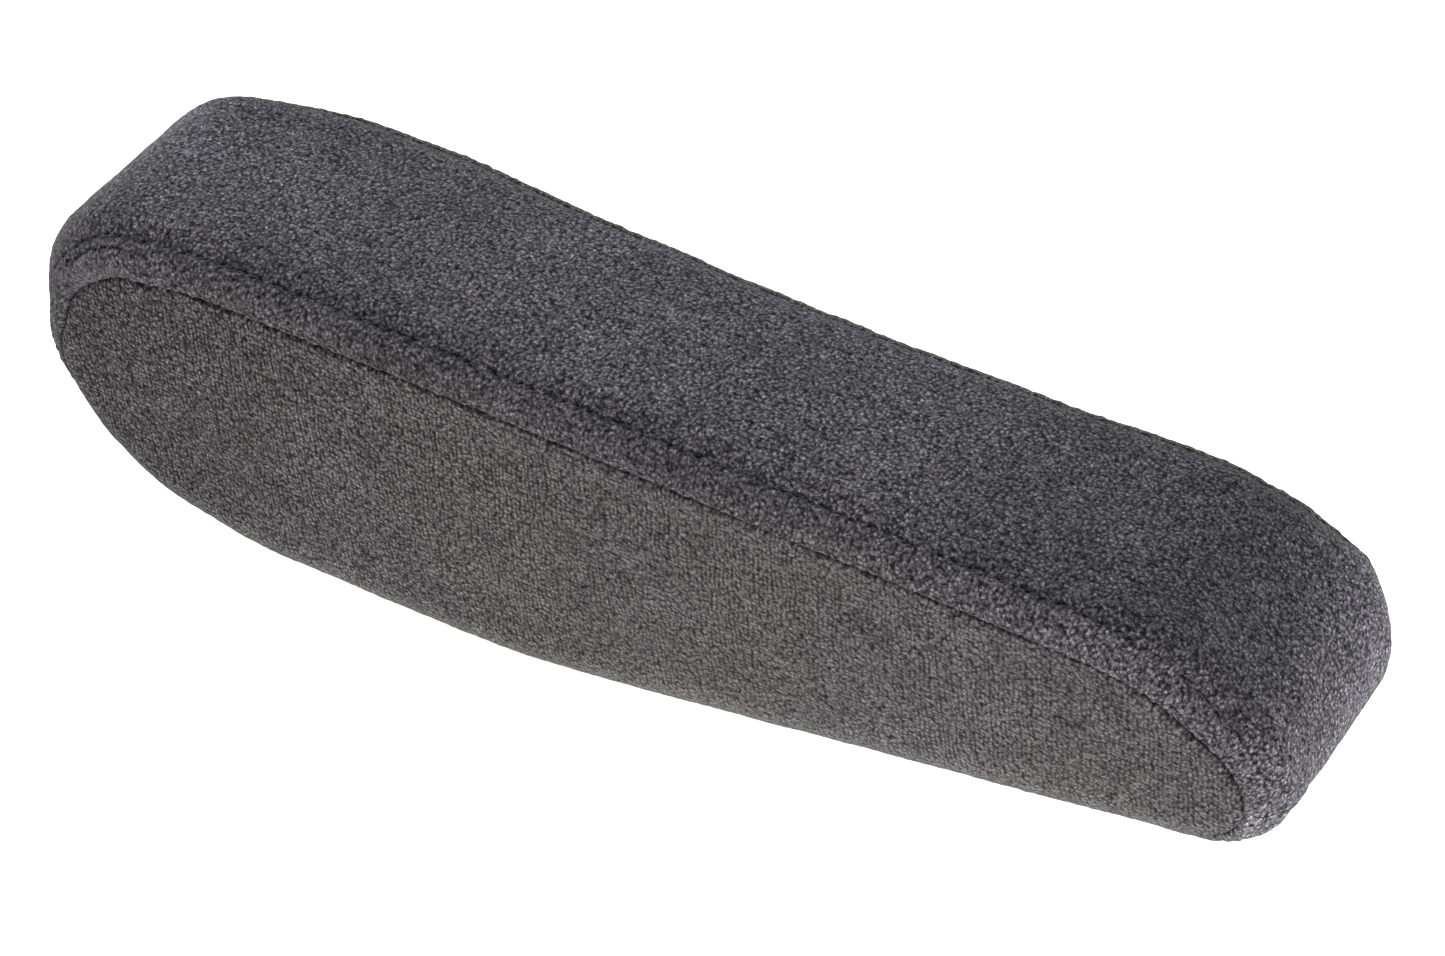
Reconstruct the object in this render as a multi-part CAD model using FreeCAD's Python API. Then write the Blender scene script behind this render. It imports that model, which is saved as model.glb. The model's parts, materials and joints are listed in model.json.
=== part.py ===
import FreeCAD, Part
import math
import os

# Upholstered flip-up seat armrest, right-hand side of the seat, in millimetres.
# The origin is on the pivot axis, at the face of the flange that bolts to the seat frame.
# +X runs forward along the pad, +Y points towards the seat, +Z is up. The armrest is down.

# ---------------------------------------------------------------- driving dimensions
PAD_INNER_Y = -14.0          # face of the pad that looks at the seat
PAD_WIDTH = 80.0
COVER_T = 2.5                # plush fabric with its thin foam backing
EDGE_R = 14.0                # rounding between the sides and the top, ends and underside
SEAM_INSET = 13.0            # seam to outline, measured on the side face
# Side outline of the pad: corner x, corner z, corner radius.
PAD_OUTLINE = [(-48.4, 49.4, 34), (80, 49.8, 1500), (291.9, 46.7, 56), (335.2, 20.3, 29),
               (328.3, -13.4, 19), (110.3, -55.5, 385), (18, -55.9, 72), (-32.3, -44.2, 63),
               (-53.7, -5.3, 36)]
PANEL_REAR_X = -36.0         # the side panels run under the pad between these two cross seams
PANEL_FRONT_X = 318.0
TOPPER_Z = 36.0              # underside of the soft top layer of foam

# pivot
FLANGE_R, FLANGE_T, SPINDLE_CHAMFER = 28.0, 10.0, 1.0
BOLT_PCD, BOLT_HOLE_R, BOLT_HOLE_DEPTH = 40.0, 3.4, 8.0
BOLT_ANGLES = (30, 150, 270)
JOURNAL_R = 10.0
JOURNAL_END_Y = -67.0
STUD_R, STUD_END_Y = 6.0, -81.0
SLEEVE_R, SLEEVE_BORE_R = 17.0, 12.0
SLEEVE_Y = (-66.0, -16.0)
BUSH_LENGTH, BUSH_CLEARANCE = 15.0, 0.05
BUSH_FLANGE_R, BUSH_FLANGE_T = 16.0, 1.5
STOP_RING_R, STOP_RING_T, STOP_RING_CLEARANCE = 26.0, 5.0, 0.5
STOP_PIN_R, STOP_PIN_PITCH_R = 3.5, 18.0
STOP_PIN_SHORT, STOP_PIN_CHAMFER = 0.5, 0.5
STOP_SLOT_CLEARANCE = 0.3
SWING = 100.0                # degrees from down to folded up
AXIAL_PLAY = 0.1
NUT_ACROSS_FLATS, NUT_T, NUT_COLLAR_STEP = 19.0, 7.5, 0.6
NUT_INSERT_T, NUT_INSERT_WALL, NUT_INSERT_LIP, NUT_INSERT_RECESS = 2.5, 1.6, 0.5, 0.2
SPRING_R, SPRING_T, SPRING_CONE, SPRING_CLEARANCE = 14.0, 1.2, 0.5, 0.2
THRUST_WASHER_R, THRUST_WASHER_CLEARANCE = 13.4, 0.2
FRICTION_WASHER_T, FRICTION_WASHER_CLEARANCE = 2.0, 0.1

# steel frame
PLATE_T = 2.0
CHANNEL_Y = (-65.0, -27.0)
CHANNEL_OUTLINE = [(-27, 25, 14), (290, 11, 9), (290, -9, 9), (60, -24, 80), (-27, -27, 24)]
CROSS_TUBE_R, CROSS_TUBE_WALL = 6.0, 1.5
CROSS_TUBE_PLACES = {"cross_tube_middle": (130, 0), "cross_tube_front": (250, -2)}
FOAM_KEY_HOLE_R = 7.0
FOAM_KEY_HOLE_X = (55, 100, 165, 210)
HOOP_WIRE_R, HOOP_START_X, HOOP_BEND_X, HOOP_BEND_R = 3.0, 228.0, 302.0, 9.0

# room in the foam
NUT_ROOM, STUD_ROOM = 4.0, 1.5
HOOP_GROOVE_X, HOOP_GROOVE_PLAY = 280.0, 1.0

# trim round the pivot
BEZEL_BORE_R, BEZEL_SPIGOT_R, BEZEL_R, BEZEL_T = 27.0, 29.0, 35.0, 3.0
BEZEL_ROUND = 1.2
SCREW_PITCH_R, SCREW_R, SCREW_HEAD_R, SCREW_HEAD_T, SCREW_HEAD_ROUND = 32.0, 1.45, 2.5, 1.7, 0.9
SCREW_SLOT_LENGTH, SCREW_SLOT_WIDTH, SCREW_SLOT_DEPTH = 3.4, 0.7, 1.0
SCREW_ANGLES = (45, 135, 225, 315)

# zip along the straight stretch of the underside
ZIP_X = (142.0, 300.0)
ZIP_GAP = 9.0
TAPE_T, TAPE_WIDTH, TAPE_SPLIT = 0.9, 12.0, 0.4
COIL_WIDTH = 5.0
SLIDER_LENGTH, SLIDER_CLEARANCE, SLIDER_PLATE_T = 10.0, 0.3, 1.2
SLIDER_LIP, SLIDER_LIP_DEPTH = 1.0, 1.0
SLIDER_START_X = 151.5
BRIDGE_WIDTH, BRIDGE_LENGTH, BRIDGE_BAR, BRIDGE_GAP = 2.0, 7.0, 1.0, 2.0
PULL_LENGTH, PULL_WIDTH, PULL_T, PULL_ARM, PULL_WINDOW = 19.0, 6.4, 1.2, 1.4, 5.2
PULL_ROUND, PULL_PIN_R, PULL_PIN_CLEARANCE, PULL_PIN_INSET = 2.0, 0.7, 0.15, 0.2
STOP_BAR_INSET, STOP_BAR_LENGTH, STOP_BAR_OVERHANG, STOP_BAR_T = 2.5, 2.0, 1.0, 0.9

# ---------------------------------------------------------------- derived sizes
PAD_OUTER_Y = PAD_INNER_Y - PAD_WIDTH
PAD_MID_Y = PAD_INNER_Y - PAD_WIDTH / 2
V = FreeCAD.Vector
ALONG_Y = V(0, 1, 0)
FAR = 400.0
NEAR = 0.1


# ---------------------------------------------------------------- outline tools
def inset_corners(corners, distance):
    """The same convex, clockwise outline, moved inwards, with its corner radii shrunk to suit."""
    lines = []
    for (x0, z0, _), (x1, z1, _) in zip(corners, corners[1:] + corners[:1]):
        length = math.hypot(x1 - x0, z1 - z0)
        ux, uz = (x1 - x0) / length, (z1 - z0) / length
        lines.append((x0 + uz * distance, z0 - ux * distance, ux, uz))
    moved = []
    for i, (_, _, radius) in enumerate(corners):
        ax, az, ux, uz = lines[i - 1]
        bx, bz, vx, vz = lines[i]
        along = ((bx - ax) * vz - (bz - az) * vx) / (ux * vz - uz * vx)
        moved.append((ax + along * ux, az + along * uz, radius - distance))
    return moved


def rounded_wire(corners, y):
    """Closed wire in the plane of the given y: straight runs joined by tangent arcs."""
    arcs = []
    for i, (x, z, radius) in enumerate(corners):
        corner = V(x, y, z)
        px, pz, _ = corners[i - 1]
        nx, nz, _ = corners[(i + 1) % len(corners)]
        back = (V(px, y, pz) - corner).normalize()
        on = (V(nx, y, nz) - corner).normalize()
        half_angle = back.getAngle(on) / 2
        bisector = (back + on).normalize()
        reach = radius / math.tan(half_angle)
        middle = corner + bisector * (radius / math.sin(half_angle) - radius)
        arcs.append((corner + back * reach, middle, corner + on * reach))
    edges = []
    for i, (start, middle, end) in enumerate(arcs):
        edges.append(Part.Arc(start, middle, end).toShape())
        following = arcs[(i + 1) % len(arcs)][0]
        edges.append(Part.LineSegment(end, following).toShape())
    return Part.Wire(edges)


def slab(corners, y_low, y_high):
    """Outline in side view, extruded between two y planes."""
    return Part.Face(rounded_wire(corners, y_low)).extrude(V(0, y_high - y_low, 0))


def polygon_slab(points, y_low, y_high):
    ring = [V(x, y_low, z) for x, z in points + points[:1]]
    return Part.Face(Part.makePolygon(ring)).extrude(V(0, y_high - y_low, 0))


def side_edges(solid, *planes):
    """Edges that lie wholly in one of the given y planes."""
    found = []
    for edge in solid.Edges:
        box = edge.BoundBox
        if any(abs(box.YMin - y) < 1e-3 and abs(box.YMax - y) < 1e-3 for y in planes):
            found.append(edge)
    return found


def pillow(inset):
    """The pad's envelope, moved inwards by the given amount, edges rounded."""
    low, high = PAD_OUTER_Y + inset, PAD_INNER_Y - inset
    body = slab(inset_corners(PAD_OUTLINE, inset), low, high)
    return body.makeFillet(EDGE_R - inset, side_edges(body, low, high))


def rod(radius, y_low, y_high, x=0.0, z=0.0):
    return Part.makeCylinder(radius, y_high - y_low, V(x, y_low, z), ALONG_Y)


def ring(radius, bore, y_low, y_high):
    return rod(radius, y_low, y_high).cut(rod(bore, y_low, y_high))


def on_circle(pitch_radius, angle):
    turn = math.radians(angle)
    return pitch_radius * math.cos(turn), pitch_radius * math.sin(turn)


def save(name, shape):
    solids = shape.Solids
    body = solids[0] if len(solids) == 1 else Part.makeCompound(solids)
    body.exportStep("parts/%s.step" % name)
    print("%-20s solids %d  volume %9.1f" % (name, len(solids), body.Volume))


# ---------------------------------------------------------------- pivot, fixed to the seat
def pivot_spindle():
    """Turned spindle: bolting flange, bearing journal and threaded stud in one piece."""
    body = rod(FLANGE_R, -FLANGE_T, 0.0)
    body = body.makeChamfer(SPINDLE_CHAMFER, side_edges(body, -FLANGE_T))
    body = body.fuse([rod(JOURNAL_R, JOURNAL_END_Y, -FLANGE_T), rod(STUD_R, STUD_END_Y, JOURNAL_END_Y)])
    body = body.removeSplitter()
    body = body.makeChamfer(SPINDLE_CHAMFER, side_edges(body, STUD_END_Y))
    for angle in BOLT_ANGLES:
        x, z = on_circle(BOLT_PCD / 2, angle)
        body = body.cut(rod(BOLT_HOLE_R, -BOLT_HOLE_DEPTH, 0.0, x, z))
    pin_x, pin_z = on_circle(STOP_PIN_PITCH_R, 90)
    return body.cut(rod(STOP_PIN_R, -FLANGE_T, -FLANGE_T / 2, pin_x, pin_z))


def stop_pin():
    """Dowel pressed into the back of the flange. It runs in the stop ring's curved slot."""
    x, z = on_circle(STOP_PIN_PITCH_R, 90)
    tip_y = SLEEVE_Y[1] + STOP_PIN_SHORT
    body = rod(STOP_PIN_R, tip_y, -FLANGE_T / 2, x, z)
    return body.makeChamfer(STOP_PIN_CHAMFER, side_edges(body, tip_y))


def thrust_washer():
    low = SLEEVE_Y[1] + STOP_RING_T + AXIAL_PLAY
    return ring(THRUST_WASHER_R, JOURNAL_R + THRUST_WASHER_CLEARANCE, low, -FLANGE_T)


def friction_washer():
    face = SLEEVE_Y[0] - BUSH_FLANGE_T
    bore = STUD_R + FRICTION_WASHER_CLEARANCE
    return ring(BUSH_FLANGE_R, bore, face - FRICTION_WASHER_T, face - AXIAL_PLAY)


def disc_spring(wide_y, narrow_y):
    """Coned washer, wide end at one y and narrow end at the other."""
    way = 1.0 if narrow_y > wide_y else -1.0
    rise = way * SPRING_CONE
    thick = way * SPRING_T
    bore = STUD_R + SPRING_CLEARANCE
    section = [V(SPRING_R, wide_y, 0), V(bore, wide_y + rise, 0),
               V(bore, wide_y + rise + thick, 0), V(SPRING_R, wide_y + thick, 0)]
    face = Part.Face(Part.makePolygon(section + section[:1]))
    return face.revolve(V(0, 0, 0), ALONG_Y, 360)


def disc_springs():
    """Two coned washers, face to face, that press the friction washer on the bush."""
    top = SLEEVE_Y[0] - BUSH_FLANGE_T - FRICTION_WASHER_T
    reach = SPRING_T + SPRING_CONE
    inner = disc_spring(top - reach, top)
    outer = disc_spring(top - reach, top - 2 * reach)
    return inner, outer


def lock_nut():
    """Hexagon nut, with a round collar that holds its locking insert."""
    top = nut_face_y()
    radius = NUT_ACROSS_FLATS / math.sqrt(3)
    corners = [V(radius * math.cos(math.radians(a)), top, radius * math.sin(math.radians(a)))
               for a in range(0, 361, 60)]
    body = Part.Face(Part.makePolygon(corners)).extrude(V(0, -(NUT_T - NUT_INSERT_T), 0))
    collar = rod(NUT_ACROSS_FLATS / 2 - NUT_COLLAR_STEP, top - NUT_T, top - NUT_T + NUT_INSERT_T)
    body = body.fuse(collar)
    body = body.cut(rod(STUD_R, top - NUT_T, top))
    seat = rod(STUD_R + NUT_INSERT_WALL, top - NUT_T, top - NUT_T + NUT_INSERT_T - NUT_INSERT_LIP)
    return body.cut(seat)


def lock_nut_insert():
    end = nut_face_y() - NUT_T
    radius = STUD_R + NUT_INSERT_WALL
    return ring(radius, STUD_R, end + NUT_INSERT_RECESS, end + NUT_INSERT_T - NUT_INSERT_LIP)


def nut_face_y():
    return SLEEVE_Y[0] - BUSH_FLANGE_T - FRICTION_WASHER_T - 2 * (SPRING_T + SPRING_CONE)


# ---------------------------------------------------------------- steel inside the pad
def hub_sleeve():
    return ring(SLEEVE_R, SLEEVE_BORE_R, *SLEEVE_Y)


def stop_ring():
    """Disc welded on the sleeve's end. Its curved slot limits the swing on the stop pin."""
    low, high = SLEEVE_Y[1], SLEEVE_Y[1] + STOP_RING_T
    body = ring(STOP_RING_R, JOURNAL_R + STOP_RING_CLEARANCE, low, high)
    half_width = STOP_PIN_R + STOP_SLOT_CLEARANCE
    first, last = 90 - SWING, 90
    slot = ring(STOP_PIN_PITCH_R + half_width, STOP_PIN_PITCH_R - half_width, low, high)
    wedge = polygon_slab([(0, 0), on_circle(FAR, first), on_circle(FAR, (first + last) / 2),
                          on_circle(FAR, last)], low, high)
    slot = slot.common(wedge)
    for angle in (first, last):
        x, z = on_circle(STOP_PIN_PITCH_R, angle)
        slot = slot.fuse(rod(half_width, low, high, x, z))
    return body.cut(slot)


def bush_inner():
    """Plain bearing bush at the seat end of the sleeve."""
    return ring(SLEEVE_BORE_R, JOURNAL_R + BUSH_CLEARANCE, SLEEVE_Y[1] - BUSH_LENGTH, SLEEVE_Y[1])


def bush_outer():
    """Flanged bearing bush at the outer end of the sleeve."""
    low = SLEEVE_Y[0]
    body = rod(SLEEVE_BORE_R, low, low + BUSH_LENGTH)
    body = body.fuse(rod(BUSH_FLANGE_R, low - BUSH_FLANGE_T, low)).removeSplitter()
    return body.cut(rod(JOURNAL_R + BUSH_CLEARANCE, low - BUSH_FLANGE_T, low + BUSH_LENGTH))


def web_z(x):
    """Height of the channel's web, at its upper face."""
    (x0, z0, _), (x1, z1, _) = CHANNEL_OUTLINE[0], CHANNEL_OUTLINE[1]
    return z0 + (x - x0) * (z1 - z0) / (x1 - x0)


def frame_channel():
    """Pressed channel, open below, that carries the foam. The sleeve is welded across its rear."""
    low, high = CHANNEL_Y
    body = slab(CHANNEL_OUTLINE, low, high)
    inside = polygon_slab([(-FAR, web_z(-FAR) - PLATE_T), (FAR, web_z(FAR) - PLATE_T),
                           (FAR, -FAR), (-FAR, -FAR)], low + PLATE_T, high - PLATE_T)
    body = body.cut(inside)
    body = body.cut(rod(SLEEVE_R, low, high))
    slope = V(web_z(0) - web_z(1), 0, 1).normalize()
    reach = 5 * PLATE_T
    for x in FOAM_KEY_HOLE_X:
        foot = V(x, sum(CHANNEL_Y) / 2, web_z(x)) - slope * reach
        body = body.cut(Part.makeCylinder(FOAM_KEY_HOLE_R, 2 * reach, foot, slope))
    return body


def cross_tube(place):
    x, z = place
    low, high = CHANNEL_Y[0] + PLATE_T, CHANNEL_Y[1] - PLATE_T
    return rod(CROSS_TUBE_R, low, high, x, z).cut(rod(CROSS_TUBE_R - CROSS_TUBE_WALL, low, high, x, z))


def front_hoop():
    """Bent wire welded under the front of the channel's web. It carries the foam of the tip."""
    mid_y = sum(CHANNEL_Y) / 2
    drop = PLATE_T + HOOP_WIRE_R

    def at(x, y):
        return V(x, y, web_z(x) - drop)
    left, right = mid_y - HOOP_BEND_R, mid_y + HOOP_BEND_R
    tip = at(HOOP_BEND_X + HOOP_BEND_R, mid_y)
    path = Part.Wire([Part.LineSegment(at(HOOP_START_X, left), at(HOOP_BEND_X, left)).toShape(),
                      Part.Arc(at(HOOP_BEND_X, left), tip, at(HOOP_BEND_X, right)).toShape(),
                      Part.LineSegment(at(HOOP_BEND_X, right), at(HOOP_START_X, right)).toShape()])
    start = at(HOOP_START_X, left)
    forward = at(HOOP_BEND_X, left) - start
    section = Part.Wire([Part.makeCircle(HOOP_WIRE_R, start, forward)])
    return path.makePipeShell([section], True, False)


# ---------------------------------------------------------------- foam
def channel_envelope():
    return slab(CHANNEL_OUTLINE, *CHANNEL_Y)


def frame_slot():
    """The slot through which the frame goes into the foam: the channel and all below it."""
    low, high = CHANNEL_Y
    (x0, _, _), (x1, _, _) = CHANNEL_OUTLINE[0], CHANNEL_OUTLINE[1]
    below = polygon_slab([(x0, 0), (x1, 0), (x1, -FAR), (x0, -FAR)], low, high)
    return channel_envelope().fuse(below)


def pivot_room():
    """Space in the foam for the sleeve, the nut and springs, and the trim's retainer."""
    room = rod(SLEEVE_R, SLEEVE_Y[0], PAD_INNER_Y)
    room = room.fuse(rod(BUSH_FLANGE_R + NUT_ROOM, STUD_END_Y - STUD_ROOM, SLEEVE_Y[0]))
    inner_face = PAD_INNER_Y - COVER_T
    return room.fuse(rod(BEZEL_R, inner_face - BEZEL_T, PAD_INNER_Y))


def hoop_room():
    """Groove that the wire hoop's tip presses into the foam."""
    mid_y = sum(CHANNEL_Y) / 2
    front = HOOP_BEND_X + HOOP_BEND_R + HOOP_WIRE_R
    z = web_z(HOOP_BEND_X) - PLATE_T - HOOP_WIRE_R
    half = HOOP_BEND_R + HOOP_WIRE_R
    rise = HOOP_WIRE_R + HOOP_GROOVE_PLAY
    return Part.makeBox(front - HOOP_GROOVE_X, 2 * half, 2 * rise, V(HOOP_GROOVE_X, mid_y - half, z - rise))


def foam_parts():
    block = pillow(COVER_T)
    above = Part.makeBox(2 * FAR, FAR, FAR, V(-FAR, -FAR, TOPPER_Z))
    topper = block.common(above)
    lower = block.cut(above).cut(pivot_room())
    core = lower.cut(frame_slot()).cut(hoop_room())
    plug = lower.common(frame_slot())
    steel = [frame_channel(), rod(SLEEVE_R, *SLEEVE_Y), front_hoop()]
    steel += [cross_tube(place) for place in CROSS_TUBE_PLACES.values()]
    for piece in steel:
        plug = plug.cut(piece)
    plug = max(plug.Solids, key=lambda solid: solid.Volume)
    return core, topper, plug


# ---------------------------------------------------------------- fabric cover
def panel_zone():
    """Side view of everything inside the seams: the side panels and the underside."""
    inside = slab(inset_corners(PAD_OUTLINE, SEAM_INSET), -FAR, FAR)
    below = polygon_slab([(PANEL_REAR_X, 0), (PANEL_FRONT_X, 0), (PANEL_FRONT_X, -FAR),
                          (PANEL_REAR_X, -FAR)], -FAR, FAR)
    clip = Part.makeBox(PANEL_FRONT_X - PANEL_REAR_X, 2 * FAR, 2 * FAR, V(PANEL_REAR_X, -FAR, -FAR))
    return inside.common(clip).fuse(below)


def zip_band(inset_from, inset_to, y_low, y_high):
    """Strip that follows the pad's underside over the zip, between two depths below its surface."""
    strip = slab(inset_corners(PAD_OUTLINE, inset_from), y_low, y_high)
    strip = strip.cut(slab(inset_corners(PAD_OUTLINE, inset_to), y_low, y_high))
    low_x, high_x = ZIP_X
    window = Part.makeBox(high_x - low_x, FAR, FAR, V(low_x, -FAR, -FAR))
    return strip.common(window)


def zip_tapes():
    outer = zip_band(COVER_T - TAPE_T, COVER_T, PAD_MID_Y - TAPE_WIDTH, PAD_MID_Y - TAPE_SPLIT / 2)
    inner = zip_band(COVER_T - TAPE_T, COVER_T, PAD_MID_Y + TAPE_SPLIT / 2, PAD_MID_Y + TAPE_WIDTH)
    return outer, inner


def zip_coil():
    """The closed chain, on the outer face of both tapes."""
    half = COIL_WIDTH / 2
    return zip_band(0.0, COVER_T - TAPE_T, PAD_MID_Y - half, PAD_MID_Y + half)


def cover_parts():
    shell = pillow(0.0).cut(pillow(COVER_T))
    zone = panel_zone()
    band = shell.cut(zone)
    panels = shell.common(zone)
    gap = Part.makeBox(ZIP_X[1] - ZIP_X[0], ZIP_GAP, FAR, V(ZIP_X[0], PAD_MID_Y - ZIP_GAP / 2, -FAR))
    panels = panels.cut(gap)
    for tape in zip_tapes():
        panels = panels.cut(tape)
    outer = panels.common(Part.makeBox(2 * FAR, FAR, 2 * FAR, V(-FAR, PAD_MID_Y - FAR, -FAR)))
    inner = panels.common(Part.makeBox(2 * FAR, FAR, 2 * FAR, V(-FAR, PAD_MID_Y, -FAR)))
    inner = inner.cut([rod(BEZEL_SPIGOT_R, PAD_MID_Y, 0)] + screw_shanks())
    return band, outer, inner


# ---------------------------------------------------------------- trim ring at the pivot
def bezel_screw(angle):
    x, z = on_circle(SCREW_PITCH_R, angle)
    face = PAD_INNER_Y + BEZEL_T
    head = rod(SCREW_HEAD_R, face, face + SCREW_HEAD_T, x, z)
    head = head.makeFillet(SCREW_HEAD_ROUND, side_edges(head, face + SCREW_HEAD_T))
    tip = PAD_INNER_Y - COVER_T - BEZEL_T
    screw = head.fuse(rod(SCREW_R, tip, face, x, z)).removeSplitter()
    corner = V(x - SCREW_SLOT_LENGTH / 2, face + SCREW_HEAD_T - SCREW_SLOT_DEPTH, z - SCREW_SLOT_WIDTH / 2)
    cross = Part.makeBox(SCREW_SLOT_LENGTH, SCREW_SLOT_DEPTH, SCREW_SLOT_WIDTH, corner)
    screw = screw.cut(cross)
    cross.rotate(V(x, 0, z), ALONG_Y, 90)
    return screw.cut(cross)


def bezel_screws():
    return Part.makeCompound([bezel_screw(angle) for angle in SCREW_ANGLES])


def screw_shanks():
    return [rod(SCREW_R, PAD_MID_Y, 0, *on_circle(SCREW_PITCH_R, a)) for a in SCREW_ANGLES]


def hub_bezel():
    """Moulded ring that covers the edge of the hole in the fabric."""
    body = rod(BEZEL_R, PAD_INNER_Y, PAD_INNER_Y + BEZEL_T)
    body = body.makeFillet(BEZEL_ROUND, side_edges(body, PAD_INNER_Y + BEZEL_T))
    spigot_low = PAD_INNER_Y - COVER_T - BEZEL_T
    body = body.fuse(rod(BEZEL_SPIGOT_R, spigot_low, PAD_INNER_Y)).removeSplitter()
    return body.cut([rod(BEZEL_BORE_R, spigot_low, 0)] + screw_shanks())


def bezel_retainer():
    """Ring behind the fabric that the trim's screws bite into."""
    high = PAD_INNER_Y - COVER_T
    return ring(BEZEL_R, BEZEL_SPIGOT_R, high - BEZEL_T, high).cut(screw_shanks())


# ---------------------------------------------------------------- zip slider and pull
def zip_line():
    """A point on the zip's surface at the slider's place, and the unit vector along the zip."""
    (x0, z0, _), (x1, z1, _) = PAD_OUTLINE[5], PAD_OUTLINE[4]
    slope = (z1 - z0) / (x1 - x0)
    along = V(1, 0, slope).normalize()
    return V(SLIDER_START_X, PAD_MID_Y, z0 + (SLIDER_START_X - x0) * slope), along


def placed_on_zip(shape):
    """Moves a shape drawn with +X along the zip and +Z out of the fabric to the slider's place."""
    point, along = zip_line()
    turn = FreeCAD.Rotation(along, V(0, -1, 0), along.cross(V(0, -1, 0)), "XYZ")
    shape = shape.copy()
    shape.Placement = FreeCAD.Placement(point, turn)
    return shape


def zip_slider():
    """Slider: plate over the chain, a lip along each side, and a bridge that holds the pull."""
    half = COIL_WIDTH / 2 + SLIDER_CLEARANCE
    length = SLIDER_LENGTH
    width = 2 * (half + SLIDER_LIP)
    plate = Part.makeBox(length, width, SLIDER_PLATE_T, V(-length / 2, -width / 2, SLIDER_CLEARANCE))
    lips = []
    for side in (-1, 1):
        y = half if side > 0 else -half - SLIDER_LIP
        corner = V(-length / 2, y, -SLIDER_LIP_DEPTH)
        lips.append(Part.makeBox(length, SLIDER_LIP, SLIDER_LIP_DEPTH + SLIDER_CLEARANCE, corner))
    top = SLIDER_CLEARANCE + SLIDER_PLATE_T
    bridge = Part.makeBox(BRIDGE_LENGTH, BRIDGE_WIDTH, BRIDGE_GAP + BRIDGE_BAR,
                          V(-BRIDGE_LENGTH / 2, -BRIDGE_WIDTH / 2, top))
    window = Part.makeBox(BRIDGE_LENGTH - 2 * BRIDGE_BAR, BRIDGE_WIDTH, BRIDGE_GAP,
                          V(-BRIDGE_LENGTH / 2 + BRIDGE_BAR, -BRIDGE_WIDTH / 2, top))
    body = plate.fuse(lips + [bridge.cut(window)]).removeSplitter()
    return placed_on_zip(body)


def pull_pivot():
    """Centre of the pull's pin, which hangs on the bridge's bar."""
    point, along = zip_line()
    outward = along.cross(V(0, -1, 0))
    height = SLIDER_CLEARANCE + SLIDER_PLATE_T + BRIDGE_GAP - PULL_PIN_R - PULL_PIN_CLEARANCE
    return point + outward * height


def zip_pull():
    """Pull tab: two arms and a pin at the bridge, hanging straight down."""
    pivot = pull_pivot()
    half = PULL_WIDTH / 2
    top = pivot.z + PULL_PIN_R
    foot = top - PULL_LENGTH
    tab = Part.makeBox(PULL_T, PULL_WIDTH, PULL_LENGTH, V(pivot.x - PULL_T / 2, pivot.y - half, foot))
    lower_corners = [edge for edge in tab.Edges
                     if edge.BoundBox.XLength > PULL_T / 2 and edge.BoundBox.ZMax < foot + NEAR]
    tab = tab.makeFillet(PULL_ROUND, lower_corners)
    window = Part.makeBox(2 * PULL_T, PULL_WIDTH - 2 * PULL_ARM, PULL_LENGTH,
                          V(pivot.x - PULL_T, pivot.y - half + PULL_ARM, pivot.z - PULL_WINDOW))
    tab = tab.cut(window)
    reach = half - PULL_PIN_INSET
    pin = rod(PULL_PIN_R, pivot.y - reach, pivot.y + reach, pivot.x, pivot.z)
    return tab.fuse(pin)


def zip_stops():
    """A crimped bar over the chain at each end of the zip."""
    point, along = zip_line()
    shapes = []
    half = COIL_WIDTH / 2 + STOP_BAR_OVERHANG
    for x in (ZIP_X[0] + STOP_BAR_INSET, ZIP_X[1] - STOP_BAR_INSET):
        bar = Part.makeBox(STOP_BAR_LENGTH, 2 * half, STOP_BAR_T, V(-STOP_BAR_LENGTH / 2, -half, 0.0))
        bar = placed_on_zip(bar)
        bar.translate(along * ((x - point.x) / along.x))
        shapes.append(bar)
    return Part.makeCompound(shapes)


# ---------------------------------------------------------------- build
def main():
    os.makedirs("parts", exist_ok=True)
    save("pivot_spindle", pivot_spindle())
    save("stop_pin", stop_pin())
    save("thrust_washer", thrust_washer())
    save("friction_washer", friction_washer())
    inner_spring, outer_spring = disc_springs()
    save("disc_spring_inner", inner_spring)
    save("disc_spring_outer", outer_spring)
    save("lock_nut", lock_nut())
    save("lock_nut_insert", lock_nut_insert())

    save("hub_sleeve", hub_sleeve())
    save("stop_ring", stop_ring())
    save("bush_inner", bush_inner())
    save("bush_outer", bush_outer())
    save("frame_channel", frame_channel())
    for name, place in CROSS_TUBE_PLACES.items():
        save(name, cross_tube(place))
    save("front_hoop", front_hoop())

    core, topper, plug = foam_parts()
    save("foam_core", core)
    save("foam_topper", topper)
    save("foam_plug", plug)

    band, outer_panel, inner_panel = cover_parts()
    save("cover_top_band", band)
    save("cover_outer_panel", outer_panel)
    save("cover_inner_panel", inner_panel)

    save("hub_bezel", hub_bezel())
    save("bezel_retainer", bezel_retainer())
    save("bezel_screws", bezel_screws())

    outer_tape, inner_tape = zip_tapes()
    save("zip_tape_outer", outer_tape)
    save("zip_tape_inner", inner_tape)
    save("zip_coil", zip_coil())
    save("zip_stops", zip_stops())
    save("zip_slider", zip_slider())
    save("zip_pull", zip_pull())


main()
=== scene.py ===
"""Looks for the upholstered flip-up armrest: plush cover, foam, zip, thread and hardware finishes."""
import json
import math

import bpy
import numpy as np
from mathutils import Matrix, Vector
from mathutils.kdtree import KDTree


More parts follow.
